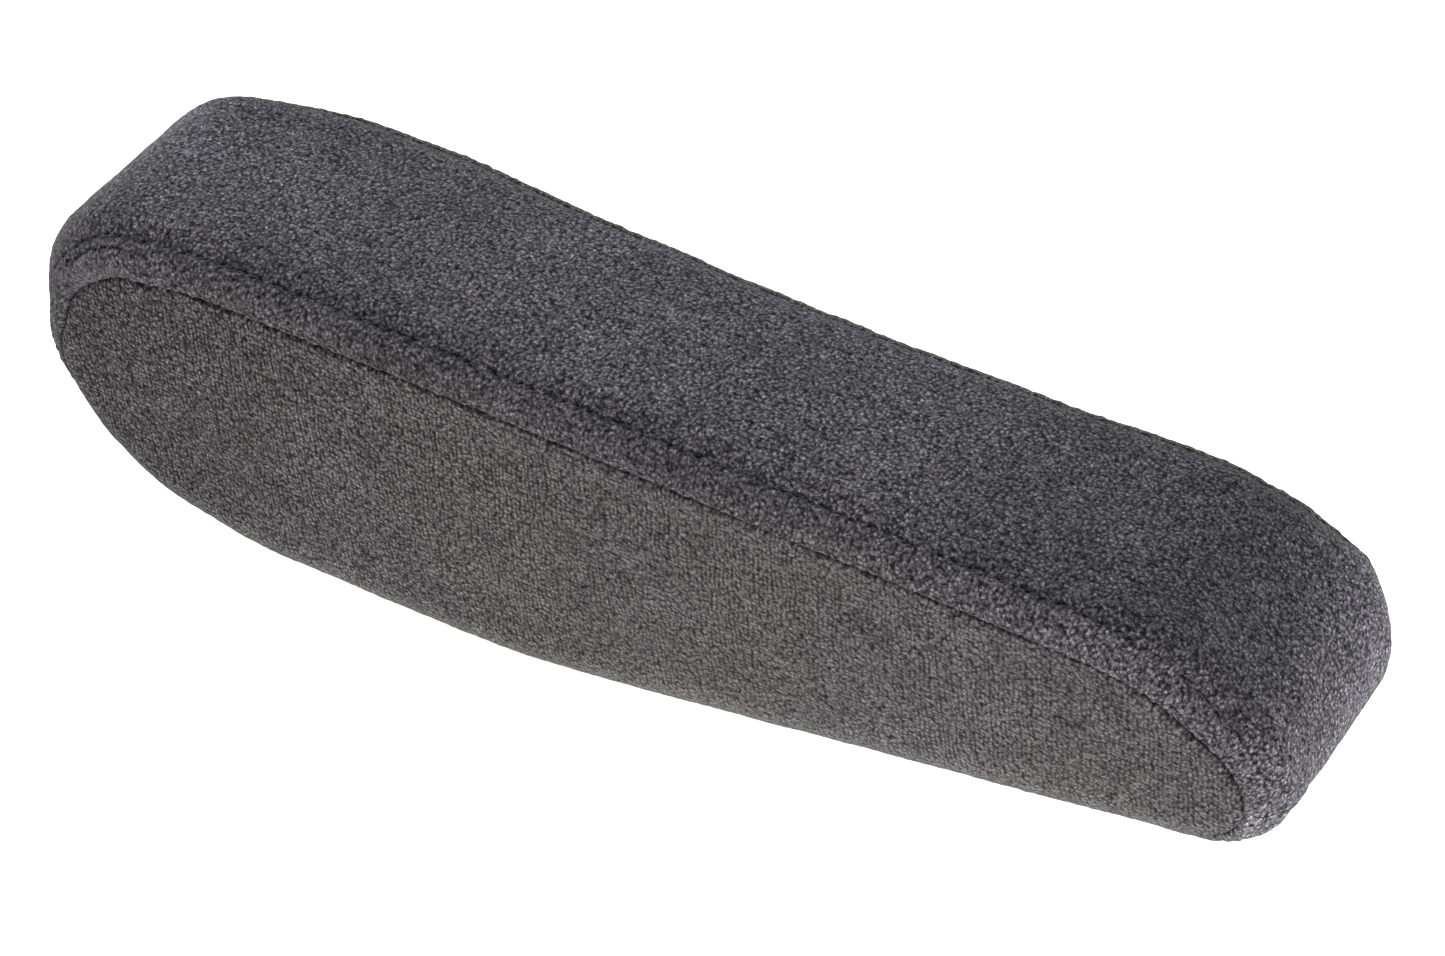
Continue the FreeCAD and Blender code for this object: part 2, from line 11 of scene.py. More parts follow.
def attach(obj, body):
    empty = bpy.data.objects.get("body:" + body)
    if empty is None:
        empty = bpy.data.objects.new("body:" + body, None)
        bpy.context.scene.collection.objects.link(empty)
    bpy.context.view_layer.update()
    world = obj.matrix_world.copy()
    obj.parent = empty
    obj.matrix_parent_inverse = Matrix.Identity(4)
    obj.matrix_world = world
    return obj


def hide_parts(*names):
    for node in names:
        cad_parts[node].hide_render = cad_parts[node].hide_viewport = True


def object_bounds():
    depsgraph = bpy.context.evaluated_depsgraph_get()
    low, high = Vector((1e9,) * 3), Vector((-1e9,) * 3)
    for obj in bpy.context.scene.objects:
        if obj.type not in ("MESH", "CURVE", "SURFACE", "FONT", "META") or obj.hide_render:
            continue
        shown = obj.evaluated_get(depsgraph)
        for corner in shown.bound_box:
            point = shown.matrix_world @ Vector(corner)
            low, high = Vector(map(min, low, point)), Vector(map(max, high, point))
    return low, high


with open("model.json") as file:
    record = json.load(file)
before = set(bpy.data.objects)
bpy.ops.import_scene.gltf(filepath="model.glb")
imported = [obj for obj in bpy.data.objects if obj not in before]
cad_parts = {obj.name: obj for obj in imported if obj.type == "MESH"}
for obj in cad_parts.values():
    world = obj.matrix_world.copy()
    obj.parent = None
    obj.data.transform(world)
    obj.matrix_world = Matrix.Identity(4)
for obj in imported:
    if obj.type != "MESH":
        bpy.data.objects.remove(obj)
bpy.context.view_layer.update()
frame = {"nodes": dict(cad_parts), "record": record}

# ------ sizes, in millimetres in the CAD frame
MM = 0.001
EDGE_R = 14.0                     # rounding between the sides and the band
QUARTER = EDGE_R * math.pi / 2
MID_Y = -54.0
HALF_WIDTH = 40.0
# Side outline of the pad, clockwise from the rear top: corner x, corner z, corner radius.
OUTLINE = [(-48.4, 49.4, 34), (80, 49.8, 1500), (291.9, 46.7, 56), (335.2, 20.3, 29),
           (328.3, -13.4, 24), (110.3, -55.5, 385), (18, -55.9, 72), (-32.3, -44.2, 63),
           (-53.7, -5.3, 36)]
REAR_SEAM_X = -36.0               # cross seams between the band and the panels, on the underside
FRONT_SEAM_X = 318.0
CELL = 0.78                       # spacing of the fabric meshes
ZIP_X = (142.0, 300.0)
ZIP_HALF_GAP = 4.5
ZIP_STITCH = 7.5                  # topstitch row beside the zip, from the middle
TAPE_EDGES = (0.06, 12.2)         # zip tape, from the middle to its selvedge
TAPE_DEPTH = (1.6, 2.5)           # its faces below the cover's surface
TAPE_END = 8.0                    # how far it goes on past each end of the coil
COIL_PITCH, COIL_WIRE_R, COIL_STATIONS = 1.5, 0.3, 14
COIL_OUT = (0.75, 1.35)           # middle of a turn from the zip's middle, and half its width
COIL_DEPTH = (0.8, 0.42)          # the same, below the cover's surface
BEZEL_R = 35.0
PIVOT_HOLE_R = 30.5
INNER_CUT_AT = 173.0              # how much further up the cloth the seat-side panel is cut

# Set-back of the side seam from the outline, at places along the band (share of the band's length).
SEAM_AT = (0.00, 0.17, 0.27, 0.80, 0.87, 1.00)
SEAM_SETBACK = (4.0, 18.0, 12.0, 12.0, 10.5, 8.0)
# Width of the felled ridge beside the seam, and its height, at places along the band.
RIDGE_AT = (0.00, 0.05, 0.09, 0.12, 0.15, 0.17, 0.19, 0.22, 0.25, 0.78, 0.84, 0.90, 0.95, 1.00)
RIDGE_WIDTH = (7.0, 7.0, 8.0, 9.5, 11.0, 12.0, 13.6, 12.8, 12.0, 12.2, 10.5, 7.5, 6.0, 5.5)
RIDGE_HEIGHT = (0.2, 0.3, 0.6, 0.8, 1.0, 1.0, 1.1, 1.1, 1.1, 1.1, 0.9, 0.6, 0.4, 0.2)
# Tone along the band, painted on the cloth: partly the way the pile is brushed, partly painted light and
# shade.
BAND_TONE_AT = (0.00, 0.05, 0.09, 0.13, 0.18, 0.30, 0.50, 0.66, 0.78, 0.83, 0.87, 0.92, 0.965, 1.00)
BAND_TONE = (0.75, 0.85, 1.65, 1.65, 1.02, 0.84, 0.86, 0.84, 0.60, 0.45, 0.56, 1.15, 2.20, 1.40)
# The same along the side panels, by x, darker towards the rear.
PANEL_TONE_X = (-50, 20, 80, 140, 200, 330)
PANEL_TONE = (0.50, 0.59, 0.74, 0.86, 0.89, 0.90)
# Lower edge of the side face, along which a painted highlight runs: x and z.
LOWER_EDGE = ((-54, -32, 18, 110, 328), (-5, -44, -56, -55.5, -13))
# Rows of the cover close together at the seam and at the crease: share of the ridge's width, then
# distance past the crease, then distance into the panel.
RIDGE_ROWS = np.array([0, 0.25, 0.55, 0.95, 1.5, 2.2, 3.0, 3.8, 4.6, 5.4, 6.2, 7.0, 7.8, 8.2, 8.5, 8.7,
                       8.9, 9.1, 9.4, 9.9, 10.4, 10.9, 11.25, 11.5, 11.75, 12.0]) / 12
PAST_ROWS = np.array([0.25, 0.5, 0.85, 1.3, 1.9])
PANEL_ROWS = np.array([0, 0.25, 0.55, 0.95, 1.5])

# How much wider the pad is on the seat side near its upper edge: x, extra half width.
BULGE_X = (-50, -20, 10, 40, 90, 160, 240, 265, 290, 320, 335)
BULGE = (-4.2, -0.6, 4.2, 4.8, 0.4, -1.8, -0.6, 1.0, 1.2, 4.6, -1.0)

# The crease above the ridge: its width, and how deep the painted shade above it goes, by distance along.
CREASE_AT, CREASE_WIDTH = (0, 90, 230, 300), (0.5, 0.6, 0.52, 0.44)
CLOUDS_AT, CLOUDS = (80, 240, 330, 400, 450), (1.8, 1.2, 0.35, 0.2, 0.0)
# Folds drawn into the band at the front end: distance past the seam, width, depth.
FRONT_FOLDS = ((10.0, 1.5, 0.8), (17.5, 2.2, 1.1), (27.0, 3.0, 0.6))
TURN_IN = (1.2, 2.4)              # depths of the turned-in edge

# Cloth run: voxel, frames, how near a seam it is held, and the furthest that a point may move.
CLOTH_VOXEL, CLOTH_FRAMES, HELD_WITHIN, MOVE_CAP = 5, 20, 6.0, 9.0
PRESSURE, STIFFNESS, BENDING = 4, 40, 6

# Rows of stitches: pitch, length, radius, height of the thread's middle, seed.
SEAM_THREAD = (3.6, 2.9, 0.26, -1.15, 80)
RIDGE_STITCH = (4.2, 3.0, 0.2, -0.75, 84)
ZIP_STITCHES = (3.2, 2.6, 0.32, 0.1, 86)


# ------ small helpers
def smooth_step(x, low, high):
    t = np.clip((np.asarray(x, float) - low) / (high - low), 0, 1)
    return t * t * (3 - 2 * t)


def hump(x, middle, width):
    """Bell curve, 1 at the middle."""
    return np.exp(-((x - middle) / width) ** 2)


def unit(vectors):
    return vectors / np.linalg.norm(vectors, axis=1)[:, None]


def run_length(line):
    """Distance of each point along the line."""
    return np.r_[0, np.cumsum(np.linalg.norm(np.diff(line, axis=0), axis=1))]


def resampled(at, along, values):
    return np.stack([np.interp(at, along, column) for column in values.T], 1)


def tree_of(points):
    tree = KDTree(len(points))
    for i, point in enumerate(points):
        tree.insert(point, i)
    tree.balance()
    return tree


def linked(name, data):
    """New object in the scene."""
    obj = bpy.data.objects.new(name, data)
    bpy.context.scene.collection.objects.link(obj)
    return obj


def applied(obj):
    """New mesh with the object's modifiers applied."""
    return bpy.data.meshes.new_from_object(obj.evaluated_get(bpy.context.evaluated_depsgraph_get()))


def remeshed(obj, size):
    """Gives the object an even mesh with voxels of that size, and returns it."""
    remesh = obj.modifiers.new("remesh", "REMESH")
    remesh.mode = "VOXEL"
    remesh.voxel_size = size * MM
    mesh = applied(obj)
    obj.modifiers.clear()
    obj.data = mesh
    return mesh


def between(x, rise, fall):
    """1 between the two spans, 0 outside them."""
    return smooth_step(x, *rise) * (1 - smooth_step(x, *fall))


def eased(x, places, values):
    """Curve through the values at those places, level at each of them."""
    places, values = np.array(places), np.array(values)
    k = np.clip(np.searchsorted(places, x) - 1, 0, len(places) - 2)
    share = smooth_step((x - places[k]) / (places[k + 1] - places[k]), 0, 1)
    return values[k] + (values[k + 1] - values[k]) * share


def ripple(x, wavelength, seed):
    """Smooth irregular wave of x, from about -1 to 1, that looks random but is always the same."""
    rng = np.random.default_rng(seed)
    total = np.zeros_like(np.asarray(x, float))
    for share in (0.55, 0.8, 1.0, 1.35, 1.9):
        total += np.sin(2 * math.pi * np.asarray(x) / (wavelength * share) + rng.uniform(0, 6.28))
    return total / 3.0


def blotches(points, size, seed, waves=14):
    """Smooth random field over 3D points, about -1 to 1, with features of that size."""
    rng = np.random.default_rng(seed)
    total = np.zeros(len(points))
    for _ in range(waves):
        direction = rng.normal(size=3)
        direction /= np.linalg.norm(direction)
        rate = 2 * math.pi / (size * rng.uniform(0.7, 1.6))
        total += np.sin(points @ direction * rate + rng.uniform(0, 6.28))
    return total / math.sqrt(waves)


def mesh_object(name, points, faces, nap_and_painted_light=None, cloth=None):
    """Mesh from points in millimetres, with a tone at each point (the pile's own, with painted light and
    shade on it), and cloth, its place in the cut cloth.
    """
    mesh = bpy.data.meshes.new(name)
    mesh.from_pydata((np.asarray(points, float) * MM).tolist(), [], [list(map(int, f)) for f in faces])
    mesh.validate()
    mesh.update()
    mesh.polygons.foreach_set("use_smooth", [True] * len(mesh.polygons))
    if nap_and_painted_light is not None:
        mesh.attributes.new("nap_and_painted_light", "FLOAT", "POINT").data.foreach_set("value", nap_and_painted_light.astype(np.float32))
    if cloth is not None:
        flat = np.c_[cloth, np.zeros(len(cloth))].astype(np.float32).ravel()
        mesh.attributes.new("cloth", "FLOAT_VECTOR", "POINT").data.foreach_set("vector", flat)
    return linked(name, mesh)


def finish_piece(obj, material, nodes=(), body="armrest"):
    obj.data.materials.clear()
    obj.data.materials.append(material)
    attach(obj, body)
    if nodes:
        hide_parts(*nodes)


# ------ shape of the pad
def rounded_outline(corners, step):
    """Evenly spaced points along the closed outline, their inward normals, and the real spacing."""
    arcs = []
    count = len(corners)
    for i, (x, z, radius) in enumerate(corners):
        corner = np.array([x, z], float)
        back = np.array(corners[i - 1][:2], float) - corner
        ahead = np.array(corners[(i + 1) % count][:2], float) - corner
        back /= np.linalg.norm(back)
        ahead /= np.linalg.norm(ahead)
        half = math.acos(float(back @ ahead)) / 2
        centre = corner + (back + ahead) / np.linalg.norm(back + ahead) * radius / math.sin(half)
        start = corner + back * radius / math.tan(half) - centre
        end = corner + ahead * radius / math.tan(half) - centre
        first = math.atan2(start[1], start[0])
        turn = (math.atan2(end[1], end[0]) - first + math.pi) % (2 * math.pi) - math.pi
        for q in np.linspace(0, turn, max(6, int(abs(turn) * radius))):
            arcs.append(centre + radius * np.array([math.cos(first + q), math.sin(first + q)]))
    loop = np.vstack([arcs, arcs[:1]])
    along = run_length(loop)
    number = int(round(along[-1] / step))
    at = np.arange(number) * along[-1] / number
    points = resampled(at, along, loop)
    tangent = unit(np.roll(points, -3, 0) - np.roll(points, 3, 0))
    inward = np.c_[tangent[:, 1], -tangent[:, 0]]
    return points, inward, along[-1] / number


def start_at(points, inward, x):
    """Rolls the loop so that it starts where the underside crosses x."""
    below = np.nonzero(points[:, 1] < 0)[0]
    first = below[np.argmin(np.abs(points[below, 0] - x))]
    return np.roll(points, -first, 0), np.roll(inward, -first, 0)


class Pad:
    """The pad's smooth outer form: a point for each place along the outline and across the section."""

    def __init__(self, step):
        self.outline, self.inward, self.step = rounded_outline(OUTLINE, step)
        self.outline, self.inward = start_at(self.outline, self.inward, REAR_SEAM_X)
        self.count = len(self.outline)
        below = np.nonzero(self.outline[:, 1] < 0)[0]
        self.front = below[np.argmin(np.abs(self.outline[below, 0] - FRONT_SEAM_X))]
        share = np.arange(self.count) / self.front
        self.seam = eased(share, SEAM_AT, SEAM_SETBACK)
        self.ridge_width = np.interp(share, RIDGE_AT, RIDGE_WIDTH)
        self.ridge_height = np.interp(share, RIDGE_AT, RIDGE_HEIGHT)
        under = np.arange(self.count) > self.front
        self.seam[under] = np.interp(np.arange(self.count)[under], (self.front, self.count),
                                     (SEAM_SETBACK[-1], SEAM_SETBACK[0]))
        # the sewn line isn't quite straight
        self.seam = self.seam + 0.22 * ripple(np.arange(self.count) * self.step, 5.0, 12)
        # distance along the section from the start of the rounded edge to the seam
        rise = np.arcsin(np.clip(1 - self.seam / EDGE_R, 0, 1)) * EDGE_R
        self.seam_arc = np.where(self.seam < EDGE_R, rise, EDGE_R - self.seam)

    def half_width(self, columns, side):
        x, z = self.outline[columns].T
        if side < 0:
            return np.full(len(x), HALF_WIDTH)
        high = np.maximum(smooth_step(z, 18, 44), smooth_step(x, 240, 280))
        return HALF_WIDTH + np.interp(x, BULGE_X, BULGE) * high

    def at(self, columns, arc, side):
        """Points and outward normals. arc is the distance from the start of the rounded edge."""
        turn = np.clip(arc / EDGE_R, 0, math.pi / 2)
        inset = EDGE_R * (1 - np.sin(turn)) - np.minimum(arc, 0)
        flat = self.outline[columns] + self.inward[columns] * inset[:, None]
        extra = (self.half_width(columns, side) - HALF_WIDTH) * smooth_step(arc, 0, 10)
        across = HALF_WIDTH + extra - EDGE_R * (1 - np.cos(turn)) - np.maximum(arc - QUARTER, 0)
        points = np.c_[flat[:, 0], MID_Y + side * across, flat[:, 1]]
        out = -self.inward[columns] * np.sin(turn)[:, None]
        normals = np.c_[out[:, 0], side * np.cos(turn), out[:, 1]]
        return points, normals

    def middle_arc(self, columns, side):
        """Arc distance of the pad's middle plane."""
        return QUARTER + self.half_width(columns, side) - EDGE_R

    def medial(self, columns, side):
        """Point of the side face's middle line that each column runs to."""
        x = np.clip(self.outline[columns, 0], -6, 292)
        z = -3 + (x - 20) * 18 / 280
        y = np.full(len(x), MID_Y + side * HALF_WIDTH)
        return np.c_[x, y, z]


def grid_faces(rows, columns, closed=False):
    """Quads of a grid whose points are stored row by row."""
    r, c = np.meshgrid(np.arange(rows - 1), np.arange(columns if closed else columns - 1), indexing="ij")
    nxt = (c + 1) % columns
    low, high = r * columns, (r + 1) * columns
    return np.stack([low + c, low + nxt, high + nxt, high + c], -1).reshape(-1, 4)


def turned_in(points, normals, faces, nap_and_painted_light, cloth, steps, joined):
    """Adds a turned-in edge along every open edge: the fabric goes down by each of the steps.
    joined marks the points where two halves of one cloth meet, which isn't an edge."""
    edges = np.stack([faces, np.roll(faces, -1, 1)], -1).reshape(-1, 2)
    key = np.sort(edges, 1)
    key = key[:, 0] * (len(points) + 1) + key[:, 1]
    _, first, count = np.unique(key, return_index=True, return_counts=True)
    rim = edges[first[count == 1]]
    rim = rim[~joined[rim].all(1)]
    ids = np.unique(rim)
    new_points, new_faces, new_nap, new_cloth = [points], [faces], [nap_and_painted_light], [cloth]
    above = {int(i): int(i) for i in ids}
    total = len(points)
    for depth in steps:
        below = {int(i): total + j for j, i in enumerate(ids)}
        new_points.append(points[ids] - normals[ids] * depth)
        quads = [(above[int(b)], above[int(a)], below[int(a)], below[int(b)]) for a, b in rim]
        new_faces.append(np.array(quads))
        # The turned-in edge is painted a quarter as light: painted shade in the recess.
        new_nap.append(nap_and_painted_light[ids] * 0.25)
        new_cloth.append(cloth[ids])
        above = below
        total += len(ids)
    return np.vstack(new_points), np.vstack(new_faces), np.concatenate(new_nap), np.vstack(new_cloth)


# ------ how the stuffed cover swells
def coarse_form():
    """Closed mesh of the pad's form, slightly small, for the cloth."""
    pad = Pad(6.0)
    columns = np.arange(pad.count)
    rings = []
    for side, arcs in ((-1, np.linspace(-8, QUARTER + 24, 9)), (1, np.linspace(QUARTER + 24, -8, 9))):
        for arc in arcs:
            points, normals = pad.at(columns, np.full(pad.count, arc), side)
            rings.append(points - normals * 1.5)
    faces = grid_faces(len(rings), pad.count, closed=True).tolist()
    faces.append(list(range(pad.count))[::-1])
    last = (len(rings) - 1) * pad.count
    faces.append([last + i for i in range(pad.count)])
    return mesh_object("swelling_form", np.vstack(rings), faces)


def vertex_array(mesh):
    co = np.zeros(len(mesh.vertices) * 3, np.float32)
    mesh.vertices.foreach_get("co", co)
    return co.reshape(-1, 3).astype(float) / MM


def simulated_swell(seam_points):
    """Runs cloth with inner pressure on the form, held at the seams, and returns (places, movement)."""
    form = coarse_form()
    even = remeshed(form, CLOTH_VOXEL)
    start = vertex_array(even)
    tree = tree_of(seam_points)
    held = form.vertex_groups.new(name="held")
    near = [i for i, point in enumerate(start) if tree.find(point)[2] < HELD_WITHIN]
    held.add(near, 1.0, "REPLACE")
    cloth = form.modifiers.new("cloth", "CLOTH")
    settings = cloth.settings
    settings.effector_weights.gravity = 0
    settings.use_pressure = True
    settings.uniform_pressure_force = PRESSURE
    settings.vertex_group_mass = "held"
    settings.tension_stiffness = settings.compression_stiffness = STIFFNESS
    settings.bending_stiffness = BENDING
    cloth.collision_settings.use_self_collision = False
    scene = bpy.context.scene
    scene.frame_start, scene.frame_end = 1, CLOTH_FRAMES
    for step in range(1, CLOTH_FRAMES + 1):
        scene.frame_set(step)
    move = vertex_array(applied(form)) - start
    bpy.data.objects.remove(form)
    scene.frame_set(1)
    length = np.linalg.norm(move, axis=1)
    move *= np.minimum(1, MOVE_CAP / np.maximum(length, 1e-6))[:, None]
    pairs = np.array([e.vertices[:] for e in even.edges])
    for _ in range(12):
        total = np.zeros_like(move)
        count = np.zeros(len(move))
        for a, b in ((0, 1), (1, 0)):
            np.add.at(total, pairs[:, a], move[pairs[:, b]])
            np.add.at(count, pairs[:, a], 1)
        move = 0.4 * move + 0.6 * total / np.maximum(count, 1)[:, None]
    return start, move


class Swell:
    LIMIT = 2.0

    def __init__(self, seam_points):
        self.tree = None
        places, self.move = simulated_swell(seam_points)
        self.tree = tree_of(places)
        size = np.linalg.norm(self.move, axis=1)
        self.scale = self.LIMIT / np.percentile(size, 98)
        print("cloth moved at most", round(float(size.max()), 2), "mm, scale", round(self.scale, 3))

    def along(self, points, normals):
        if self.tree is None:
            x, y, z = points.T
            side = np.clip((np.abs(y - MID_Y) - 30) / 10, 0, 1) ** 2
            height = np.clip(1 - ((z + 3) / 46) ** 2, 0, 1) * np.clip(1 - ((x - 140) / 200) ** 4, 0, 1)
            top = np.clip(1 - ((y - MID_Y) / 40) ** 2, 0, 1) * smooth_step(z, 30, 45)
            return self.LIMIT * np.maximum(side * height, top * 0.7)
        result = np.zeros(len(points))
        for i, (point, normal) in enumerate(zip(points, normals)):
            total = weight = 0.0
            for _, index, distance in self.tree.find_n(point, 8):
                w = 1 / (distance * distance + 9)
                total += w * float(self.move[index] @ normal)
                weight += w
            result[i] = total / weight
        return np.clip(result * self.scale, -1.0, 3.0)


# ------ fabric pieces
def hub_flatten(points, side):
    """1 away from the pivot trim, 0 under it, so that the trim presses the fabric flat."""
    if side < 0:
        return np.ones(len(points))
    reach = np.hypot(points[:, 0], points[:, 2])
    return smooth_step(reach, BEZEL_R + 1, BEZEL_R + 14)


def tufts(points, seed):
    """Unevenness of the pile, a fraction of a millimetre."""
    return 0.07 * blotches(points, 2.4, seed, 24)


def half_rows(pad, columns, length):
    """Distances from the seam to the band's middle, one a row, close together at seam and crease."""
    width = pad.ridge_width[columns]
    rows = [share * width for share in RIDGE_ROWS] + [width + past for past in PAST_ROWS]
    rest = length - rows[-1]
    number = int(rest.mean() / CELL)
    return rows + [rows[-1] + rest * k / number for k in range(1, number + 1)]


def band_mesh(pad, swell):
    """The band over the rear end, the top and the front end, from seam to seam."""
    columns = np.arange(pad.front + 1)
    along = columns * pad.step
    found = []
    for side in (-1, 1):
        middle = pad.middle_arc(columns, side)
        rows = half_rows(pad, columns, middle - pad.seam_arc[columns])
        if side > 0:
            rows = rows[-2::-1]
        for distance in rows:
            points, normals = pad.at(columns, pad.seam_arc[columns] + distance, side)
            height, nap_and_painted_light = ridge_profile(pad, columns, along, distance, side)
            past = distance + np.zeros(len(columns)) if side < 0 else np.full(len(columns), 99.0)
            cut = np.c_[along, side * (middle - pad.seam_arc[columns] - distance)]
            found.append((points, normals, height, nap_and_painted_light, past, cut))
    lines = len(found)
    points, normals, height, nap_and_painted_light, past_seam, cloth = [np.concatenate(part) for part in zip(*found)]
    end = np.minimum(np.tile(along, lines), along[-1] - np.tile(along, lines))
    height -= 1.1 * hump(end, 0, 1.6)
    height += swell.along(points, normals)
    height += 0.16 * blotches(points, 26, 5) + 0.07 * blotches(points, 9, 6)
    height += tufts(points, 7)
    share = np.tile(columns / pad.front, lines)
    # at both ends the tone changes only beyond the ridge, and at the front the cloth is drawn into folds
    away = np.maximum(smooth_step(past_seam, 7, 18), 0.5 * smooth_step(share, 0.91, 0.97))
    at_end = np.maximum(smooth_step(share, 0.62, 0.78), 1 - smooth_step(share, 0.11, 0.17))
    # Pile tone with painted light and shade along the band.
    nap_and_painted_light = nap_and_painted_light * (1 + (np.interp(share, BAND_TONE_AT, BAND_TONE) - 1) * (1 - at_end * (1 - away)))
    drawn = smooth_step(share, 0.90, 0.97)
    # Painted highlight on the front end beside the seam.
    lit = smooth_step(share, 0.84, 0.91) * (1 - 0.8 * smooth_step(share, 0.965, 0.99))
    nap_and_painted_light = nap_and_painted_light * (1 + 0.5 * lit * hump(past_seam, 5, 8))
    for place, width, depth in FRONT_FOLDS:
        fold = drawn * hump(past_seam, place - 60 * (share - 0.95), width)
        height -= depth * fold
        # Painted shade in each fold.
        nap_and_painted_light = nap_and_painted_light * (1 - 0.35 * depth * fold)
    # At both ends the seat side of the band is painted lighter and the outer side darker: painted light and
    # shade.
    ends = smooth_step(share, 0.84, 0.88) * (1 - 0.6 * smooth_step(share, 0.9, 0.96))
    ends = smooth_step(-share, -0.22, -0.12) + ends
    nap_and_painted_light = nap_and_painted_light * (1 + 0.25 * (points[:, 1] - MID_Y) / HALF_WIDTH * ends)
    nap_and_painted_light = nap_and_painted_light * (1 + 0.05 * blotches(points, 45, 8) + 0.045 * blotches(points, 14, 9))
    points = points + normals * height[:, None]
    faces = grid_faces(lines, len(columns))
    return points, normals, faces, nap_and_painted_light, cloth, np.zeros(len(points), bool)


def ridge_profile(pad, columns, along, distance, side):
    """Height and tone of the band near its seam: stitched groove, padded ridge, crease, flat top. The tone
    holds painted shade in the groove, the crease and the valley above it.
    """
    seed = 20 + side
    width = pad.ridge_width[columns]
    visible = 1.0 if side < 0 else 0.45
    peak = pad.ridge_height[columns]
    roll = np.clip(distance / width, 0, 1)
    on_ridge = distance < width
    gap = smooth_step(ripple(along, 2.6, seed + 3), -0.7, 0.5)
    groove = -(0.5 + 0.9 * gap) * hump(distance, 0, 0.45) - 0.1 * hump(distance, 0, 1.6)
    ridge = peak * (0.35 + 0.65 * visible) * np.sin(math.pi * roll ** 1.5) ** 0.8 * on_ridge
    lumps = (0.12 * ripple(along, 6.5, seed + 10) + 0.12 * ripple(along + 3 * roll, 3.1, seed + 11))
    lumps = lumps * np.sin(math.pi * roll) * on_ridge
    past = distance - width
    wander = past - 0.28 * ripple(along, 7.0, seed + 21)
    open_crease = ripple(along, 4.6, seed + 20) + 0.6 * ripple(along, 31, seed + 22)
    open_crease = smooth_step(open_crease, -0.75, 0.25) * visible
    line = hump(wander, 0, np.interp(along, CREASE_AT, CREASE_WIDTH))
    crease = -peak * (0.15 * visible + 0.85 * open_crease) * line
    valley = -0.35 * peak * visible * hump(past, 1.5, 3.2)
    pull = np.exp(-np.maximum(past, 0) / 7.0) * (past > 0)
    puckers = 0.16 * ripple(along, 11, seed + 30) * pull * np.minimum(1, np.maximum(past, 0) / 2)
    # a second, shorter fold inside the ridge at the rear upper corner
    corner = between(along, (66, 74), (102, 112)) * visible
    fold_at = (0.74 * width + 0.3 * ripple(along, 8, 78) - distance) / 0.42
    fold_line = np.exp(-fold_at ** 2) * corner * smooth_step(ripple(along, 7, 77), -1.1, -0.1)
    # the seam gapes a little where it turns the same corner
    gape = hump(along, 101, 7) * visible * hump(distance, 0, 0.8)
    height = groove + ridge + lumps + crease + valley + puckers - 1.0 * fold_line - 1.1 * gape
    # painted shade in the valley above the crease, in clouds of uneven depth
    clouds = np.interp(along, CLOUDS_AT, CLOUDS)
    clouds *= 0.8 + 0.4 * ripple(along, 70, seed + 40) + 0.2 * ripple(along, 17, seed + 41)
    shadow = 0.08 * hump(past, 1.6, 2.6) + 0.14 * clouds * hump(past, 0, 14)
    shadow = shadow * smooth_step(past, -2.5, 1.0) * np.minimum(peak, 1) * visible
    # Painted shade on the ridge towards the rear, and in the valley above the crease.
    nap_and_painted_light = 1 - 0.16 * on_ridge * np.interp(along, (250, 400), (visible, 0)) - shadow
    # Painted shade in the crease and in the short fold.
    nap_and_painted_light -= 0.85 * line * open_crease + 0.75 * fold_line
    # Painted shade in the seam's groove, deeper where it opens and where it gapes at the corner.
    nap_and_painted_light -= (0.15 + 0.85 * gap) * hump(distance, 0, 0.52) + 0.5 * gape
    return height, np.maximum(nap_and_painted_light, 0.12)


